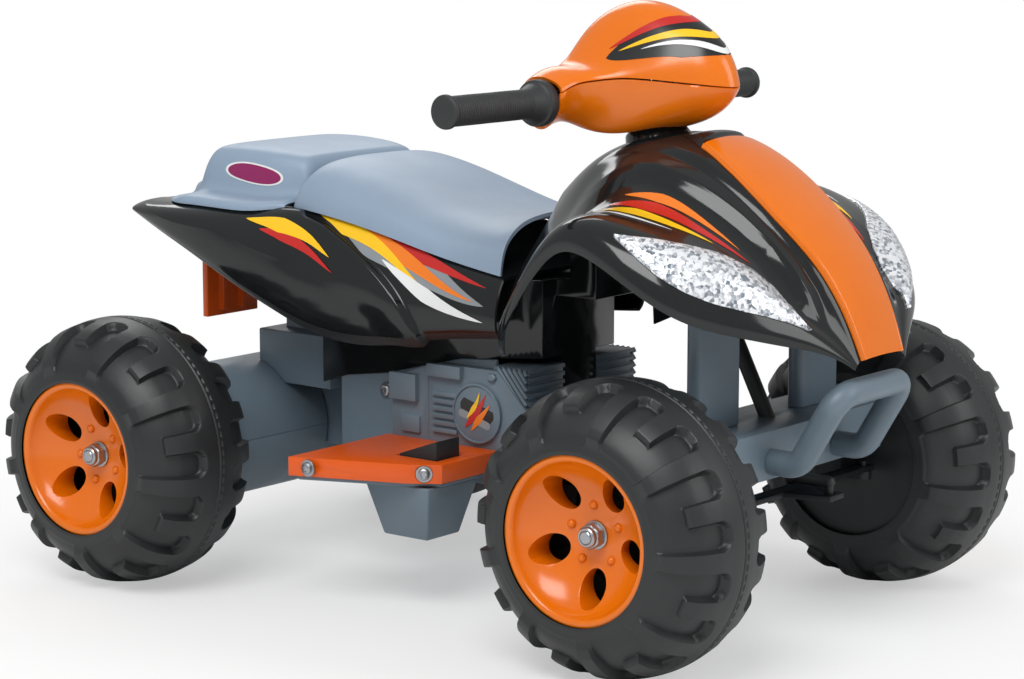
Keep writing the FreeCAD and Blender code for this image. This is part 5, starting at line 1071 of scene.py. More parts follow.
@dataclass
class Fairing:
    """The front fairing with its raised stripe, headlights and printed film.

    Attributes:
        rear_mm: rear end.
        length_mm: length that the shares follow.
        half_mm: half width that the shares follow.
        foot_mm: level that the shares start from.
        rise_mm: height that the shares follow.
        wall_mm: wall of the shell.
        trim_mm: height of the stripe over the shell.
    """

    rear_mm: float = 66.0
    length_mm: float = 284.0
    half_mm: float = 170.0
    foot_mm: float = 200.0
    rise_mm: float = 180.0
    wall_mm: float = 3.0
    trim_mm: float = 3.4

    # Rows from the rear to the nose, each from the centre line to the lip: shares along, across and up
    ROW_SHARES = (
        ((0.011, 0.0, 0.767), (0.028, 0.153, 0.733), (0.039, 0.224, 0.689), (0.046, 0.306, 0.617),
         (0.035, 0.424, 0.489), (0.021, 0.518, 0.356), (0.014, 0.576, 0.239), (0.011, 0.600, 0.150),
         (0.014, 0.600, 0.039)),
        ((0.099, 0.0, 0.883), (0.109, 0.165, 0.856), (0.116, 0.247, 0.806), (0.116, 0.335, 0.722),
         (0.113, 0.494, 0.517), (0.106, 0.641, 0.333), (0.099, 0.788, 0.228), (0.095, 0.847, 0.178),
         (0.102, 0.841, 0.122)),
        ((0.190, 0.0, 0.950), (0.194, 0.176, 0.928), (0.194, 0.271, 0.878), (0.194, 0.359, 0.789),
         (0.190, 0.559, 0.578), (0.187, 0.735, 0.467), (0.183, 0.876, 0.389), (0.183, 0.906, 0.333),
         (0.183, 0.888, 0.278)),
        ((0.289, 0.0, 0.994), (0.289, 0.188, 0.978), (0.285, 0.288, 0.928), (0.285, 0.376, 0.839),
         (0.282, 0.600, 0.667), (0.278, 0.788, 0.633), (0.275, 0.924, 0.589), (0.275, 0.953, 0.522),
         (0.275, 0.924, 0.461)),
        ((0.408, 0.0, 1.022), (0.405, 0.200, 1.000), (0.401, 0.306, 0.944), (0.398, 0.388, 0.856),
         (0.394, 0.618, 0.717), (0.391, 0.824, 0.750), (0.387, 0.959, 0.728), (0.387, 0.982, 0.667),
         (0.387, 0.971, 0.611)),
        ((0.535, 0.0, 0.978), (0.532, 0.224, 0.956), (0.525, 0.318, 0.894), (0.518, 0.394, 0.811),
         (0.514, 0.624, 0.700), (0.511, 0.859, 0.722), (0.511, 0.971, 0.661), (0.511, 0.994, 0.594),
         (0.511, 0.982, 0.539)),
        ((0.651, 0.0, 0.872), (0.648, 0.241, 0.850), (0.641, 0.318, 0.794), (0.634, 0.388, 0.722),
         (0.627, 0.624, 0.650), (0.623, 0.859, 0.661), (0.623, 0.976, 0.556), (0.627, 1.000, 0.500),
         (0.627, 0.994, 0.439)),
        ((0.768, 0.0, 0.728), (0.761, 0.253, 0.700), (0.757, 0.300, 0.656), (0.750, 0.376, 0.594),
         (0.746, 0.588, 0.561), (0.743, 0.788, 0.583), (0.743, 0.894, 0.433), (0.746, 0.918, 0.378),
         (0.743, 0.912, 0.317)),
        ((0.863, 0.0, 0.578), (0.859, 0.224, 0.550), (0.856, 0.265, 0.511), (0.849, 0.329, 0.456),
         (0.845, 0.488, 0.428), (0.845, 0.618, 0.461), (0.849, 0.712, 0.344), (0.849, 0.741, 0.300),
         (0.845, 0.729, 0.261)),
        ((0.930, 0.0, 0.428), (0.926, 0.200, 0.406), (0.923, 0.229, 0.367), (0.923, 0.276, 0.322),
         (0.919, 0.371, 0.289), (0.923, 0.447, 0.311), (0.923, 0.506, 0.261), (0.923, 0.524, 0.233),
         (0.919, 0.506, 0.206)),
        ((0.975, 0.0, 0.278), (0.972, 0.182, 0.261), (0.968, 0.206, 0.233), (0.968, 0.229, 0.211),
         (0.968, 0.259, 0.200), (0.972, 0.282, 0.194), (0.972, 0.306, 0.178), (0.972, 0.312, 0.172),
         (0.972, 0.306, 0.161)),
        ((1.000, 0.0, 0.133), (1.000, 0.171, 0.125), (1.000, 0.182, 0.119), (1.000, 0.188, 0.114),
         (1.000, 0.194, 0.108), (1.001, 0.201, 0.104), (1.001, 0.207, 0.099), (1.001, 0.212, 0.096),
         (1.000, 0.213, 0.090)),
    )
    # Trim on the skin: shares along and, from the right lip, across
    STRIPE_START_SHARE = 0.42
    CAP_START_SHARE = 0.335
    STRIPE_SHARES = (0.070, 0.083, 0.089, 0.091, 0.089, 0.088, 0.090, 0.095)
    LIGHT_REACH_SHARES = (0.474, 0.905)
    LIGHT_TOP_SHARES = (0.097, 0.133, 0.166, 0.209, 0.231, 0.233, 0.209, 0.129)
    LIGHT_FOOT_SHARES = (0.090, 0.080, 0.069, 0.067, 0.070, 0.081, 0.098, 0.122)

    # Plain speed stripes on the right flank
    STRIPES = (
        Ribbon(FILM_RED, ((0.30, 0.226), (0.44, 0.236), (0.58, 0.238), (0.70, 0.244)), 7.5, 0.3),
        Ribbon(FILM_ORANGE, ((0.32, 0.25), (0.44, 0.26), (0.56, 0.259), (0.66, 0.256)), 5.0, 0.3),
        Ribbon(FILM_YELLOW, ((0.29, 0.196), (0.40, 0.205), (0.51, 0.212), (0.62, 0.224)), 8.0, 0.35),
        Ribbon(FILM_WHITE, ((0.34, 0.172), (0.41, 0.178), (0.48, 0.187), (0.54, 0.197)), 2.4, 0.35),
    )

    def __post_init__(self) -> None:
        """Lay out the skin."""
        self.skin = FairingSkin(mirrored_rows(self.ROW_SHARES, self.rear_mm, self.length_mm, self.half_mm,
                                              self.foot_mm, self.rise_mm))

    def stripe_half(self, along: np.ndarray) -> np.ndarray:
        """Give the stripe's half width across, as a share, at shares along."""
        stops = np.linspace(self.STRIPE_START_SHARE, 1, len(self.STRIPE_SHARES))
        return np.interp(along, stops, self.STRIPE_SHARES)

    def shell(self) -> bpy.types.Object:
        """Build the shell with the band along each flank.

        Returns:
            The shell's object.
        """
        along = np.linspace(0, 1, 220)[:, None]
        foot = np.interp(along, *np.array(FairingSkin.BAND_FOOT_SHARES).T)
        top = np.interp(along, *np.array(FairingSkin.BAND_TOP_SHARES).T)
        parts = [np.linspace(0, 1, 84, endpoint=False) * foot,
                 foot + np.linspace(0, 1, 8, endpoint=False) * (top - foot),
                 top + np.linspace(0, 1, 40) * (0.5 - top)]
        half = np.concatenate(parts, axis=1)
        across = np.concatenate([half, 1 - half[:, -2::-1]], axis=1)
        along = np.broadcast_to(along, across.shape)
        outer = self.skin.points(along, across)
        inner = self.skin.plain(along, across) - self.skin.facing(self.skin.plain, along, across) * self.wall_mm * MM
        return shell_object("front_fairing_piece", outer, inner, True, 70.0)

    def raised(self, name: str, along: np.ndarray, across: np.ndarray, lift_mm: np.ndarray, foot_mm: float,
               flip: bool = True, crease: float = 35.0) -> bpy.types.Object:
        """Build a piece of trim that stands on the skin.

        Args:
            name: the object's name.
            along: shares of the net's rows.
            across: shares of the net's columns.
            lift_mm: height of its outer side over the skin.
            foot_mm: height of its underside.
            flip: whether the faces turn over.
            crease: angle in degrees above which an edge stays sharp.

        Returns:
            The new object.
        """
        points = self.skin.points(along, across)
        normals = self.skin.normals(along, across)
        return shell_object(name, points + normals * (lift_mm * MM)[..., None], points + normals * foot_mm * MM,
                            flip, crease)

    def cap(self) -> bpy.types.Object:
        """Build the black wedge behind the stripe's upper end.

        Returns:
            The wedge's object.
        """
        rows, columns = 40, 41
        share = np.linspace(0, 1, rows)[:, None]
        side = np.linspace(-1, 1, columns)[None, :]
        along = np.broadcast_to(self.CAP_START_SHARE
                                + (self.STRIPE_START_SHARE - 0.004 - self.CAP_START_SHARE) * share, (rows, columns))
        half = self.STRIPE_SHARES[0] * (0.62 + 0.38 * share)
        edge = ease(1 - np.abs(side), 0.0, 0.16)
        lift = 0.3 + (4.4 * ease(share, 0.0, 0.75)) * edge - 2.0 * ease(share, 0.8, 1.0) * edge
        return self.raised("stripe_cap_piece", along, 0.5 + side * half, lift, 0.1, crease=60.0)

    def stripe(self) -> bpy.types.Object:
        """Build the raised orange stripe with a shallow groove inside each edge.

        Returns:
            The stripe's object.
        """
        share = np.linspace(self.STRIPE_START_SHARE, 1, 120)[:, None]
        side = np.linspace(-1, 1, 61)[None, :]
        along = np.broadcast_to(share, (120, 61))
        across = 0.5 + side * self.stripe_half(share)
        edge = 1 - np.abs(side)
        lift = self.trim_mm - 2.2 * ease(-edge, -0.07, 0.0) - 0.5 * np.exp(-((edge - 0.13) / 0.025) ** 2)
        return self.raised("hood_stripe_piece", along, across, lift, 0.2)

    def light(self, side: Side) -> bpy.types.Object:
        """Build a headlight of many small facets.

        Args:
            side: side of the vehicle.

        Returns:
            The headlight's object.
        """
        rows, columns = 96, 34
        share = np.linspace(0, 1, rows)[:, None]
        stops = np.linspace(0, 1, len(self.LIGHT_TOP_SHARES))
        low = np.interp(share, stops, self.LIGHT_FOOT_SHARES)
        high = np.interp(share, stops, self.LIGHT_TOP_SHARES)
        across = low + (high - low) * np.linspace(0, 1, columns)[None, :]
        along = np.broadcast_to(self.LIGHT_REACH_SHARES[0] + share * np.diff(self.LIGHT_REACH_SHARES), across.shape)
        if side is Side.LEFT:
            across = 1 - across
        dome = np.sqrt(np.clip(1 - np.linspace(-1, 1, columns)[None, :] ** 2, 0, 1))
        facets = np.random.default_rng(7).uniform(-0.3, 0.3, (rows, columns))
        lift = 1.0 + dome * (2.2 + facets)
        return self.raised(f"headlight_{side.name.lower()}_piece", along, across, lift, 0.2, side is Side.RIGHT)

    def build(self) -> None:
        """Build and dress the fairing's pieces."""
        settle(self.shell(), "front_fairing", ["front_fairing"])
        settle(self.stripe(), "hood_stripe", ["hood_stripe"])
        settle(self.cap(), "front_fairing")
        for side in Side:
            node = f"headlight_{side.name.lower()}"
            settle(self.light(side), node, [node])
        settle(rounded("column_cover", 1.5), "column_cover", ["column_cover"])
        film_pair("fairing_film", self.skin, self.STRIPES, "front_fairing")


# Rear body

def line_distance(places: np.ndarray, line: Sequence[tuple[float, float]]) -> np.ndarray:
    """Measure the distance from places to a line of points, positive on the line's left.

    Args:
        places: pairs in the last direction.
        line: pairs that the line runs through.

    Returns:
        The signed distances.
    """
    knots = smooth_line(line, 60)
    best = np.full(places.shape[:-1], np.inf)
    for start, end in zip(knots, knots[1:]):
        step = end - start
        away = places - start
        share = np.clip(away @ step / (step @ step), 0, 1)
        gap = np.linalg.norm(away - share[..., None] * step, axis=-1)
        gap = np.where(step[0] * away[..., 1] - step[1] * away[..., 0] >= 0, gap, -gap)
        best = np.where(np.abs(gap) < np.abs(best), gap, best)
    return best


class BodySkin(Skin):
    """The rear body's skin with the fender's edge over the side panel and the ridge of the tail."""

    # Lines seen from the side: along and up in millimetres
    CREASE_MM = ((-156.0, 318.0), (-140.0, 303.0), (-110.0, 294.0), (-66.5, 272.5), (-33.0, 247.0),
                 (-13.4, 218.4), (-5.0, 195.0))
    RIDGE_MM = ((-314.0, 301.0), (-260.0, 291.0), (-207.0, 286.0), (-169.0, 275.0), (-136.0, 266.0))
    FENDER_MM = 3.4
    PANEL_MM = 2.4
    TAIL_MM = 1.8

    def relief(self, points: np.ndarray, along: np.ndarray, across: np.ndarray) -> np.ndarray:
        """Give the height of the fender's edge, the sunk panel and the tail's ridge over the net.

        Args:
            points: the net's points.
            along: shares of the net's rows.
            across: shares of the net's columns.

        Returns:
            Heights in millimetres.
        """
        flank = ease(np.abs(across - 0.5), 0.10, 0.17)
        seen = points[..., [0, 2]] / MM
        crease = line_distance(seen, self.CREASE_MM)
        ridge = line_distance(seen, self.RIDGE_MM)
        beyond = ease(crease, -2.0, 3.0)
        fender = self.FENDER_MM * ease(crease, -38.0, -6.0) * (1 - beyond)
        panel = self.PANEL_MM * beyond * (1 - ease(crease, 22.0, 80.0))
        tail = self.TAIL_MM * np.exp(-np.abs(ridge) / 5.0) * ease(-seen[..., 0], 120.0, 160.0)
        return (fender - panel + tail) * flank


@dataclass
class RearBody:
    """The rear body with its fenders and printed film.

    Attributes:
        rear_mm: rear end.
        length_mm: length that the stations follow.
        half_mm: half width that the shares follow.
        foot_mm: level that the shares start from.
        rise_mm: height that the shares follow.
        wall_mm: wall of the shell.
    """

    rear_mm: float = -322.0
    length_mm: float = 384.0
    half_mm: float = 135.0
    foot_mm: float = 200.0
    rise_mm: float = 110.0
    wall_mm: float = 3.0

    # Stations from the rear, then points from the deck's middle to the lower lip: shares across and up
    STATION_SHARES = (
        (0.000, ((0.0, 0.927), (0.444, 0.927), (0.667, 0.927), (0.770, 0.918), (0.844, 0.891),
                 (0.867, 0.873), (0.859, 0.855), (0.815, 0.836))),
        (0.083, ((0.0, 0.945), (0.489, 0.945), (0.726, 0.945), (0.844, 0.936), (0.948, 0.900),
                 (0.963, 0.836), (0.948, 0.773), (0.889, 0.745))),
        (0.188, ((0.0, 0.964), (0.548, 0.964), (0.770, 0.964), (0.889, 0.945), (0.993, 0.891),
                 (0.993, 0.764), (0.963, 0.636), (0.904, 0.600))),
        (0.305, ((0.0, 0.964), (0.593, 0.964), (0.785, 0.964), (0.889, 0.909), (0.985, 0.800),
                 (0.978, 0.618), (0.956, 0.427), (0.889, 0.391))),
        (0.422, ((0.0, 0.964), (0.622, 0.964), (0.756, 0.955), (0.844, 0.873), (0.963, 0.673),
                 (0.956, 0.473), (0.933, 0.255), (0.867, 0.218))),
        (0.531, ((0.0, 0.955), (0.652, 0.955), (0.726, 0.936), (0.800, 0.818), (0.919, 0.545),
                 (0.904, 0.318), (0.881, 0.082), (0.807, 0.036))),
        (0.656, ((0.0, 0.891), (0.667, 0.891), (0.726, 0.873), (0.785, 0.745), (0.867, 0.473),
                 (0.859, 0.255), (0.830, 0.036), (0.763, -0.009))),
        (0.786, ((0.0, 0.773), (0.667, 0.773), (0.726, 0.755), (0.770, 0.636), (0.822, 0.400),
                 (0.815, 0.255), (0.793, 0.100), (0.733, 0.064))),
        (0.904, ((0.0, 0.682), (0.652, 0.682), (0.704, 0.664), (0.741, 0.564), (0.778, 0.382),
                 (0.778, 0.282), (0.763, 0.155), (0.711, 0.118))),
        (1.000, ((0.0, 0.609), (0.622, 0.609), (0.674, 0.591), (0.711, 0.509), (0.741, 0.382),
                 (0.748, 0.291), (0.741, 0.200), (0.689, 0.164))),
    )
    # Plain speed stripes on the right side panel and fender
    STRIPES = (
        Ribbon(FILM_GREY, ((0.55, 0.384), (0.70, 0.35), (0.84, 0.29), (0.985, 0.17)), 13.0, 0.25, 0.3),
        Ribbon(FILM_RED, ((0.57, 0.386), (0.71, 0.362), (0.85, 0.322), (0.985, 0.255)), 8.0, 0.3, 0.5),
        Ribbon(FILM_ORANGE, ((0.60, 0.362), (0.72, 0.326), (0.84, 0.272), (0.97, 0.185)), 7.0, 0.35, 0.5),
        Ribbon(FILM_YELLOW, ((0.535, 0.374), (0.645, 0.335), (0.76, 0.282), (0.88, 0.2)), 7.5, 0.3, 0.7),
        Ribbon(FILM_WHITE, ((0.77, 0.246), (0.85, 0.204), (0.92, 0.15), (0.985, 0.085)), 6.0, 0.5, 0.5),
        Ribbon(FILM_RED, ((0.40, 0.222), (0.48, 0.222), (0.57, 0.206), (0.65, 0.175)), 4.5, 0.3, 0.6),
        Ribbon(FILM_YELLOW, ((0.345, 0.249), (0.45, 0.252), (0.55, 0.238), (0.635, 0.207)), 6.5, 0.4, 0.6),
    )

    def build(self) -> None:
        """Build and dress the rear body's pieces."""
        rows = [[(along, across, up) for across, up in row] for along, row in self.STATION_SHARES]
        skin = BodySkin(mirrored_rows(rows, self.rear_mm, self.length_mm, self.half_mm, self.foot_mm, self.rise_mm))
        along, across = even_shares(260, 321)
        outer = skin.points(along, across)
        inner = skin.plain(along, across) - skin.facing(skin.plain, along, across) * self.wall_mm * MM
        piece = shell_object("rear_body_piece", outer, inner, True, 70.0)
        columns = across.shape[1] - 1
        turned_in = (np.arange(len(piece.data.polygons)) % columns - columns / 2)
        dull = (np.abs(turned_in + 0.5) > columns * 0.465) & (np.arange(len(turned_in)) < columns * (len(along) - 1))
        piece.data.polygons.foreach_set("material_index", dull.astype(int))
        settle(piece, "rear_body", ["rear_body"], [BLACK_GLOSS, BLACK_MATTE])
        film_pair("rear_body_film", skin, self.STRIPES, "rear_body")
        TailCowl(skin).build()


@dataclass
class TailCowl:
    """The cowl behind the saddle: a humped top on a flat ledge that rests on the deck.

    Attributes:
        body: the rear body's skin.
        rear_mm: rear end.
        length_mm: length that the stations follow.
        half_mm: half width that the shares follow.
        foot_mm: level that the heights start from.
        rise_mm: height that the shares follow.
        seat_mm: gap over the deck.
        wall_mm: wall of the shell.
    """

    body: BodySkin
    rear_mm: float = -298.0
    length_mm: float = 138.0
    half_mm: float = 118.0
    foot_mm: float = 307.0
    rise_mm: float = 46.0
    seat_mm: float = 1.2
    wall_mm: float = 3.0

    # Stations from the rear: place, half width and height of the middle
    STATION_SHARES = ((0.0, 0.72, 0.2), (0.02, 0.8, 0.24), (0.1, 0.92, 0.25), (0.16, 0.96, 0.3), (0.2, 0.98, 0.72),
                      (0.26, 1.0, 0.96), (0.34, 1.0, 0.98), (0.55, 1.0, 0.99), (0.78, 0.98, 0.94), (0.92, 0.9, 0.88),
                      (0.985, 0.86, 0.83), (1.0, 0.85, 0.5))
    # Half a section from the middle: shares of the half width and of the height
    SECTION_SHARES = ((0.0, 1.0), (0.3, 1.0), (0.52, 0.99), (0.65, 0.95), (0.70, 0.7), (0.72, 0.36), (0.755, 0.2),
                      (0.84, 0.18), (0.96, 0.16), (1.0, 0.1), (1.0, 0.0))

    # Plain oval pad with a pale rim on the right of the hump
    PADS = (
        Ribbon(FILM_WHITE, ((0.585, 0.259), (0.66, 0.2565), (0.75, 0.25), (0.835, 0.247)), 9.0, oval=True),
        Ribbon(FILM_MAGENTA, ((0.597, 0.2585), (0.66, 0.2565), (0.75, 0.25), (0.823, 0.2475)), 7.6, oval=True),
    )

    def __post_init__(self) -> None:
        """Tabulate where the body's rows lie along the vehicle."""
        along = np.linspace(0, 1, 200)
        places = self.body.plain(along, np.full(along.shape, 0.5))[:, 0] / MM
        self.stations = ((places - RearBody.rear_mm) / RearBody.length_mm, along)

    def deck(self, x: float, side: float) -> float:
        """Give the level of the deck at a place along and aside.

        Args:
            x: millimetres ahead of the middle.
            side: millimetres from the centre line.

        Returns:
            Millimetres above ground.
        """
        across = np.linspace(0.5, 0.8, 120)
        share = (x - RearBody.rear_mm) / RearBody.length_mm
        along = np.full(across.shape, np.interp(share, *self.stations))
        points = self.body.plain(along, across) / MM
        return float(np.interp(side, points[:, 1], points[:, 2]))

    def build(self) -> None:
        """Build and dress the cowl."""
        net = []
        for place, width, top in self.STATION_SHARES:
            x, side = self.rear_mm + self.length_mm * place, self.half_mm * width
            edge = max(self.deck(x, side), self.deck(x, side - self.wall_mm)) + self.seat_mm
            crown = self.foot_mm + self.rise_mm * top
            points = [(x, side * across, edge + (crown - edge) * up) for across, up in self.SECTION_SHARES]
            net.append([(x, -y, z) for x, y, z in reversed(points[1:])] + points)
        skin = Skin(net)
        along, across = even_shares(150, 241)
        outer = skin.points(along, across)
        inner = outer - skin.normals(along, across) * self.wall_mm * MM
        settle(shell_object("tail_cowl_piece", outer, inner, True, 60.0), "tail_cowl", ["tail_cowl"])
        film_pair("cowl_film", skin, self.PADS, "tail_cowl")


# Handlebar

@dataclass
class Handlebar:
    """The handlebar's ringed grips and the printed film on its cover.

    Attributes:
        bar_place_mm: tube ahead of the middle.
        bar_height_mm: tube above ground.
        bore_mm: radius of the grip's bore.
        rings_mm: distance between two rings of a grip.
        wall_mm: wall of the cover.
    """

    bar_place_mm: float = 95.0
    bar_height_mm: float = 404.0
    bore_mm: float = 8.2
    rings_mm: float = 2.6
    wall_mm: float = 2.5

    # Cover: rear end, length, half width, level of the seam and rise
    COVER_MM = (74.0, 151.0, 83.0, 416.0, 65.0)
    # Cover from its middle to its end: place across, rear and front edges, seam and rise, as shares
    COVER_SHARES = ((0.00, 0.005, 0.994, 0.0, 0.993), (0.24, 0.016, 0.884, 0.038, 0.861),
                    (0.42, 0.025, 0.688, 0.084, 0.369), (0.53, 0.010, 0.454, 0.123, 0.112),
                    (0.66, 0.009, 0.338, 0.076, 0.148), (0.83, 0.015, 0.273, 0.054, 0.169),
                    (1.00, 0.018, 0.268, -0.046, 0.162))
    SECTION_SHARES = ((0.0, 0.0), (0.0, 0.48), (0.14, 0.92), (0.42, 1.10), (0.72, 0.86), (0.97, 0.45), (1.0, 0.0))
    # Plain chevron bands on the front of the cover
    STRIPES = (
        Ribbon(FILM_BLACK, ((0.24, 0.64), (0.37, 0.77), (0.50, 0.83), (0.63, 0.77), (0.76, 0.64)), 20.0, 0.35, 0.35),
        Ribbon(FILM_RED, ((0.28, 0.57), (0.39, 0.685), (0.50, 0.74), (0.61, 0.685), (0.72, 0.57)), 4.2, 0.35, 0.35),
        Ribbon(FILM_YELLOW, ((0.28, 0.65), (0.39, 0.775), (0.50, 0.835), (0.61, 0.775), (0.72, 0.65)), 3.6, 0.35,
               0.35),
        Ribbon(FILM_WHITE, ((0.31, 0.745), (0.41, 0.85), (0.50, 0.9), (0.59, 0.85), (0.69, 0.745)), 2.6, 0.35, 0.35),
    )

    def cover_skin(self) -> Skin:
        """Lay out the upper cover's skin.

        Returns:
            The skin, along from right to left and across from rear to front.
        """
        rear, length, half, seam, rise = self.COVER_MM
        stations = [(-across, *rest) for across, *rest in reversed(self.COVER_SHARES[1:])] + list(self.COVER_SHARES)
        net = [[(rear + length * (back + (front - back) * ahead), half * across, seam + rise * (level + height * up))
                for ahead, up in self.SECTION_SHARES] for across, back, front, level, height in stations]
        return Skin(net, -1.0)

    def grip(self, side: Side) -> bpy.types.Object:
        """Build a grip: end disc, ringed sleeve, conical collar and inner disc.

        Args:
            side: side of the vehicle.

        Returns:
            The grip's object.
        """
        node = f"grip_{side.name.lower()}"
        low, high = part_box(node)
        length = (high[1] - low[1]) / MM
        ringed = np.linspace(6.5, length - 22.5, 170)
        rings = [(11.25 + 0.3 * math.sin(2 * math.pi * place / self.rings_mm), place) for place in ringed]
        profile = [(0.01, 0.0), (9.0, 0.0), (11.8, 0.3), (12.7, 1.1), (13.0, 2.2), (13.0, 3.8), (12.6, 4.7),
                   (11.6, 5.3), (11.2, 6.0), *rings, (11.5, length - 21.5), (12.2, length - 19.0),
                   (14.2, length - 13.5), (15.6, length - 10.2), (16.4, length - 9.4), (17.6, length - 9.0),
                   (18.0, length - 8.2), (18.0, length - 0.9), (17.4, length - 0.1), (self.bore_mm, length - 0.1),
                   (self.bore_mm, 4.0), (0.01, 4.0)]
        grid = lathe_grid(profile, 72)
        end = low[1] if side is Side.RIGHT else high[1]
        turn = Matrix.Rotation(math.radians(90 * side.value), 4, "X")
        place = Matrix.Translation((self.bar_place_mm * MM, end, self.bar_height_mm * MM)) @ turn
        form = bmesh.new()
        add_grid(form, move(grid, place).reshape(grid.shape))
        clean(form)
        return form_object(f"{node}_piece", form)

    def build(self) -> None:
        """Build and dress the handlebar's pieces."""
        for side in Side:
            node = f"grip_{side.name.lower()}"
            settle(self.grip(side), node, [node], [GRIP_BLACK])
        skin = self.cover_skin()
        along, across = even_shares(181, 121)
        outer = skin.points(along, across)
        inner = outer - skin.normals(along, across) * self.wall_mm * MM
        settle(shell_object("cover_upper_piece", outer, inner, False, 60.0), "cover_upper", ["cover_upper"])
        film_object("cover_film", skin, self.STRIPES, "cover_upper")


# Engine panels and screws

def lathe_piece(form: bmesh.types.BMesh, profile: Sequence[tuple[float, float]], place: Matrix,
                steps: int = 32) -> None:
    """Add a turned body to a form.

    Args:
        form: the form that gets the body.
        profile: closed profile of radius and height in millimetres.
        place: the body's place, with its axis along Z.
        steps: number of steps round the axis.
    """
    grid = lathe_grid(profile, steps)
    add_grid(form, move(grid, place).reshape(grid.shape))


def outward_from(side: Side, x: float, y: float, z: float, slant: float = 0.0) -> Matrix:
    """Give a place whose Z axis points away from the centre line.

    Args:
        side: side of the vehicle.
        x: millimetres ahead of the middle.
        y: millimetres from the centre line.
        z: millimetres above ground.
        slant: degrees by which the axis turns to the front.

    Returns:
        The matrix of the place.
    """
    turn = Matrix.Rotation(math.radians(-90 * side.value), 4, "X")
    toward = Matrix.Rotation(math.radians(-slant * side.value), 4, "Z")
    return Matrix.Translation((x * MM, side.value * y * MM, z * MM)) @ toward @ turn


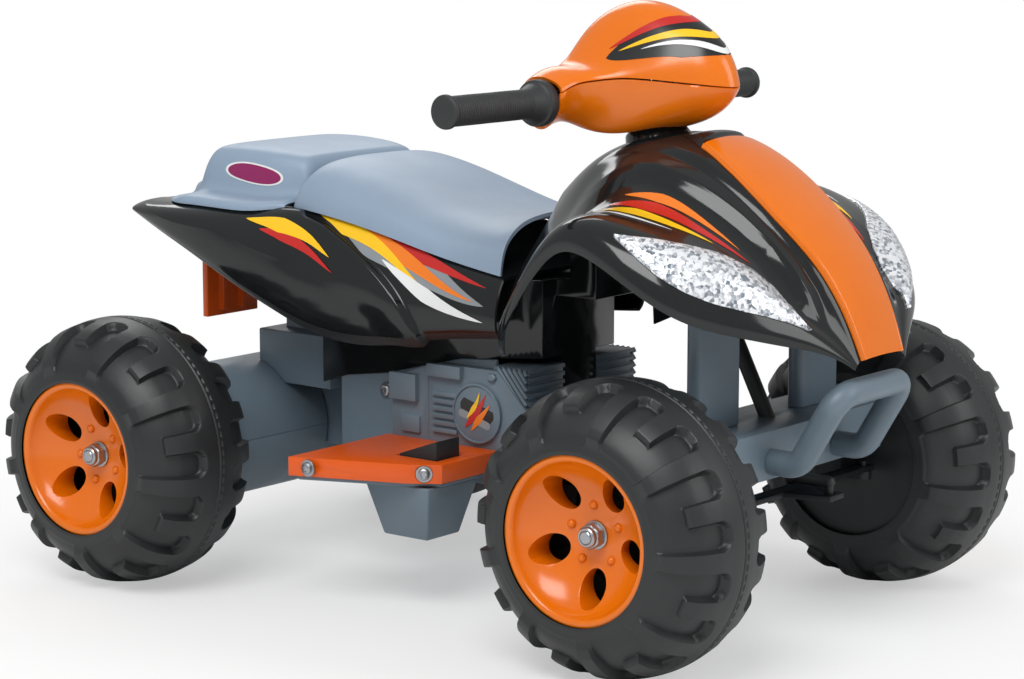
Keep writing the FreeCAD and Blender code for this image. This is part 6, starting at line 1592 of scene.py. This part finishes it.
@dataclass
class EnginePanel:
    """Details of a mock engine's side: bosses, bars, fins, cover rim, bolt and printed film.

    Attributes:
        side: side of the vehicle.
        face_mm: distance of the panel's face from the centre line.
        block_mm: distance of the block's side from the centre line.
    """

    side: Side
    face_mm: float = 75.0
    block_mm: float = 68.3

    # Upright outlines on the panel: x and z, with the height of each
    BOSSES_MM = (
        (((-28.4, 102.0), (-28.4, 186.0), (-26.6, 186.0), (-26.6, 102.0)), 1.4),
        (((36.0, 179.5), (36.0, 185.5), (42.0, 185.5), (44.0, 182.5), (42.0, 179.5)), 3.0),
    )
    COVER_MM = (25.0, 152.0, 24.0)
    FINS = 6
    FIN_STARTS_MM = ((43.0, 190.5), (5.4, 0.0))
    FIN_ENDS_MM = ((72.0, 157.0), (0.0, 6.0))
    FIN_HALF_MM = 1.5
    SCREW_MM = ((0.01, 0.05), (6.9, 0.05), (6.9, 0.9), (6.5, 1.4), (4.9, 1.5), (4.8, 2.9), (4.2, 3.7), (2.6, 4.1),
                (2.2, 3.0), (0.01, 3.0))
    STRIPES = (
        Ribbon(FILM_BLACK, ((0.16, 0.66), (0.4, 0.585), (0.65, 0.51), (0.86, 0.44)), 5.2, 0.06, 0.06),
        Ribbon(FILM_GREY, ((0.12, 0.50), (0.36, 0.43), (0.6, 0.355), (0.8, 0.29)), 3.2, 0.06, 0.06),
        Ribbon(FILM_RED, ((0.26, 0.24), (0.42, 0.42), (0.58, 0.62), (0.7, 0.84)), 3.6, 0.4, 0.6),
        Ribbon(FILM_ORANGE, ((0.4, 0.2), (0.52, 0.36), (0.66, 0.52), (0.8, 0.68)), 3.0, 0.4, 0.6),
        Ribbon(FILM_YELLOW, ((0.3, 0.4), (0.42, 0.55), (0.52, 0.7), (0.58, 0.88)), 2.2, 0.4, 0.6),
    )

    def raise_outline(self, form: bmesh.types.BMesh, outline: Sequence[tuple[float, float]], base: float,
                      height: float, chamfer: float = 0.9) -> None:
        """Add a flat boss with a bevelled rim to a form.

        Args:
            form: the form that gets the boss.
            outline: corners of x and z in millimetres.
            base: distance of the boss's foot from the centre line.
            height: height of the boss.
            chamfer: width of its bevel.
        """
        corners = np.array(outline, dtype=float)
        ahead = np.roll(corners, -1, axis=0) - corners
        ahead /= np.linalg.norm(ahead, axis=1, keepdims=True)
        before = np.roll(ahead, 1, axis=0)
        area = np.sum(corners[:, 0] * np.roll(corners[:, 1], -1) - np.roll(corners[:, 0], -1) * corners[:, 1])
        inward = np.stack([-(ahead + before)[:, 1], (ahead + before)[:, 0]], axis=-1) * np.sign(area)
        inward /= np.maximum(np.sum(inward * np.stack([-ahead[:, 1], ahead[:, 0]], axis=-1), axis=1,
                                    keepdims=True) * np.sign(area), 0.3)
        rings = []
        for inset, level in ((0, base - 1), (0, base + height - chamfer), (chamfer, base + height)):
            places = corners + inward * inset
            rings.append([form.verts.new((x * MM, self.side.value * level * MM, z * MM)) for x, z in places])
        count = len(corners)
        for low, high in zip(rings, rings[1:]):
            for number in range(count):
                after = (number + 1) % count
                form.faces.new((low[number], low[after], high[after], high[number]))
        form.faces.new(rings[0])
        form.faces.new(rings[-1])

    def fins(self, form: bmesh.types.BMesh) -> None:
        """Add the slanting cooling fins by the block to a form."""
        for number in range(self.FINS):
            start, end = (np.array(first) + np.array(step) * number
                          for first, step in (self.FIN_STARTS_MM, self.FIN_ENDS_MM))
            aside = np.array([start[1] - end[1], end[0] - start[0]])
            aside *= self.FIN_HALF_MM / np.linalg.norm(aside)
            self.raise_outline(form, (start - aside, end - aside, end + aside, start + aside), self.block_mm, 6.0)

    def build(self) -> None:
        """Build and dress the panel's details."""
        name = self.side.name.lower()
        form = bmesh.new()
        for outline, height in self.BOSSES_MM:
            self.raise_outline(form, outline, self.face_mm, height)
        self.fins(form)
        x, z, radius = self.COVER_MM
        rim = ((radius - 1.6, 1.0), (radius + 0.4, 1.0), (radius + 0.4, 3.2), (radius - 0.2, 3.6),
               (radius - 1.2, 3.6), (radius - 1.6, 3.0), (radius - 1.6, 1.0))
        lathe_piece(form, rim, outward_from(self.side, x, self.face_mm, z), 64)
        clean(form)
        settle(form_object(f"engine_details_{name}", form), f"engine_panel_{name}")
        level = self.side.value * (self.face_mm + 2.5)
        reach = np.linspace(-1, 1, 4) * radius
        plane = Skin([[(x + right, level, z + up) for up in reach] for right in reach], -self.side.value)
        film_object(f"engine_film_{name}", plane, self.STRIPES, f"engine_panel_{name}")


# Right side's footrest screws and panel bolt: ahead, aside, up and slant
SCREW_SPOTS_MM = ((-52.5, 192.0, 116.5), (33.5, 152.8, 116.5, 34.8), (-79.0, 66.0, 158.0))


def build_screws() -> None:
    """Build the footrests' washer-headed screws and the panels' bolts."""
    form = bmesh.new()
    for side in Side:
        for spot in SCREW_SPOTS_MM:
            lathe_piece(form, EnginePanel.SCREW_MM, outward_from(side, *spot))
    clean(form)
    settle(form_object("footrest_screws_piece", form), "footrest_screws", ["footrest_screws"])


# Plain mouldings

# Radius of the rounded edges of each node that keeps its shape
EDGES_MM = {
    "saddle": 0.0, "cover_lower": 0.0,
    "main_frame": 1.5, "chassis_tub": 2.5, "rear_tower": 2.5, "axle_housing_upper": 1.5,
    "axle_housing_lower": 1.5, "front_beam": 2.0, "post_right": 1.5, "post_left": 1.5, "bumper": 0.8,
    "engine_panel_right": 0.8, "engine_panel_left": 0.8, "footrest_right": 1.8, "footrest_left": 1.8,
    "footrest_pan_right": 1.2, "footrest_pan_left": 1.2, "pedal": 1.6,
    "pedal_box": 1.8, "pedal_switch": 0.5, "mud_flap": 1.2, "battery": 1.0, "motor": 0.6, "rear_axle": 0.6,
    "drive_gear": 0.15, "motor_pinion": 0.1, "knuckle_right": 0.8, "knuckle_left": 0.8, "tie_rod": 0.5,
    "steering_shaft": 0.4, "handlebar_tube": 0.6, "switch_case": 0.6,
    "switch_rocker": 0.5, "pedal_spring": 0.0,
}


def build_mouldings() -> None:
    """Build the pieces that keep their node's shape with rounded edges."""
    for node, edge in EDGES_MM.items():
        dark = node in ("tie_rod", "knuckle_right", "knuckle_left")
        top = "pedal" if node == "pedal_spring" else ""
        settle(rounded(node, edge), node, [node], [DARK_STEEL] if dark else (), top)


# Studio

@dataclass
class Studio:
    """Pale floor, soft lamps and the camera.

    Attributes:
        eye_mm: place of the camera.
        aim_mm: point that the camera looks at.
        lens_mm: focal length on a 36 mm wide sensor.
        floor_mm: half width of the floor.
        floor_share: share of plain white in the floor by the vehicle.
    """

    eye_mm: tuple[float, float, float] = (1404.9, -1779.2, 568.7)
    aim_mm: tuple[float, float, float] = (-0.1, 0.0, 199.6)
    lens_mm: float = 98.11
    floor_mm: float = 6000.0
    floor_share: float = 0.45

    # Distances in metres over which the floor turns white
    FADE_M = (0.3, 0.75)
    # Soft lamps: name, place, width and height in metres, and watts
    LAMPS = (("key_lamp", (0.6, -1.6, 2.2), 1.6, 1.2, 42.0), ("fill_lamp", (2.2, 0.6, 1.4), 1.0, 1.4, 14.0),
             ("rim_lamp", (-1.6, 1.4, 1.8), 1.2, 1.2, 14.0))

    def camera(self) -> None:
        """Set up the camera at the photograph's angle."""
        eye = Vector(self.eye_mm) * MM
        aim = Vector(self.aim_mm) * MM
        data = bpy.data.cameras.new("camera")
        data.lens = self.lens_mm
        data.sensor_width = 36.0
        data.clip_end = 50.0
        camera = bpy.data.objects.new("camera", data)
        camera.matrix_world = Matrix.Translation(eye) @ (aim - eye).to_track_quat("-Z", "Y").to_matrix().to_4x4()
        bpy.context.scene.collection.objects.link(camera)
        bpy.context.scene.camera = camera

    def floor(self) -> None:
        """Lay the pale floor, which turns into the white background away from the vehicle."""
        reach = self.floor_mm * MM
        level = CAD_BOX[0][2] - 0.2 * MM
        corners = np.array([(-reach, -reach, level), (reach, -reach, level), (reach, reach, level),
                            (-reach, reach, level)])
        floor = mesh_object("floor", corners, [(0, 1, 2, 3)])
        paper = Moulded("paper_backdrop_white", "#F6F6F6", "#F2F2F2", 0.8, grain_mm=20.0, grain_depth_mm=0.05,
                        cloud_mm=900.0).material()
        tree = paper.node_tree
        place = add_node(tree, "TexCoord").outputs["Object"]
        away = add_node(tree, "VectorMath", {"operation": "LENGTH"}, {0: place})
        fade = add_node(tree, "MapRange", {"From Min": self.FADE_M[0], "From Max": self.FADE_M[1],
                                            "To Min": self.floor_share},
                        {"Value": away.outputs["Value"]})
        seen = add_node(tree, "LightPath")
        share = add_node(tree, "Math", {"operation": "MULTIPLY"},
                         {0: fade.outputs["Result"], 1: seen.outputs["Is Camera Ray"]})
        white = add_node(tree, "Emission", {"Color": linear("#FFFFFF"), "Strength": 1.0})
        mix = add_node(tree, "MixShader", {}, {0: share.outputs["Value"],
                                               1: tree.nodes["Principled BSDF"].outputs["BSDF"],
                                               2: white.outputs["Emission"]})
        tree.links.new(mix.outputs["Shader"], tree.nodes["Material Output"].inputs["Surface"])
        floor.data.materials.append(paper)

    def lamp(self, name: str, place: tuple[float, float, float], width: float, height: float,
             watts: float) -> None:
        """Hang a soft lamp that shines at the middle of the vehicle.

        Args:
            name: the lamp's name.
            place: its place in metres.
            width: its width in metres.
            height: its height in metres.
            watts: its power.
        """
        data = bpy.data.lights.new(name, "AREA")
        data.shape = "RECTANGLE"
        data.size = width
        data.size_y = height
        data.energy = watts
        lamp = bpy.data.objects.new(name, data)
        aim = Vector((0.0, 0.0, 0.2)) - Vector(place)
        lamp.matrix_world = Matrix.Translation(place) @ aim.to_track_quat("-Z", "Y").to_matrix().to_4x4()
        bpy.context.scene.collection.objects.link(lamp)

    def world(self) -> None:
        """Make the surroundings white to the eye, and softer as light."""
        world = bpy.data.worlds.new("studio")
        bpy.context.scene.world = world
        world.use_nodes = True
        tree = world.node_tree
        seen = add_node(tree, "LightPath")
        shown = add_node(tree, "Math", {"operation": "MAXIMUM"},
                         {0: seen.outputs["Is Camera Ray"], 1: seen.outputs["Is Transmission Ray"]})
        strength = add_node(tree, "MapRange", {"To Min": 0.5, "To Max": 1.0}, {"Value": shown.outputs["Value"]})
        back = tree.nodes["Background"]
        back.inputs["Color"].default_value = linear("#FFFFFF")
        tree.links.new(strength.outputs["Result"], back.inputs["Strength"])

    def build(self) -> None:
        """Build the studio."""
        bpy.context.scene.view_settings.view_transform = "Standard"
        self.camera()
        self.floor()
        self.world()
        for lamp in self.LAMPS:
            self.lamp(*lamp)


def main() -> None:
    """Build every piece in order."""
    logging.basicConfig(level=logging.INFO, format="%(message)s")
    build_wheels()
    Fairing().build()
    RearBody().build()
    Handlebar().build()
    for side in Side:
        EnginePanel(side).build()
    build_screws()
    build_mouldings()
    Studio().build()


if __name__ == "__main__":
    main()
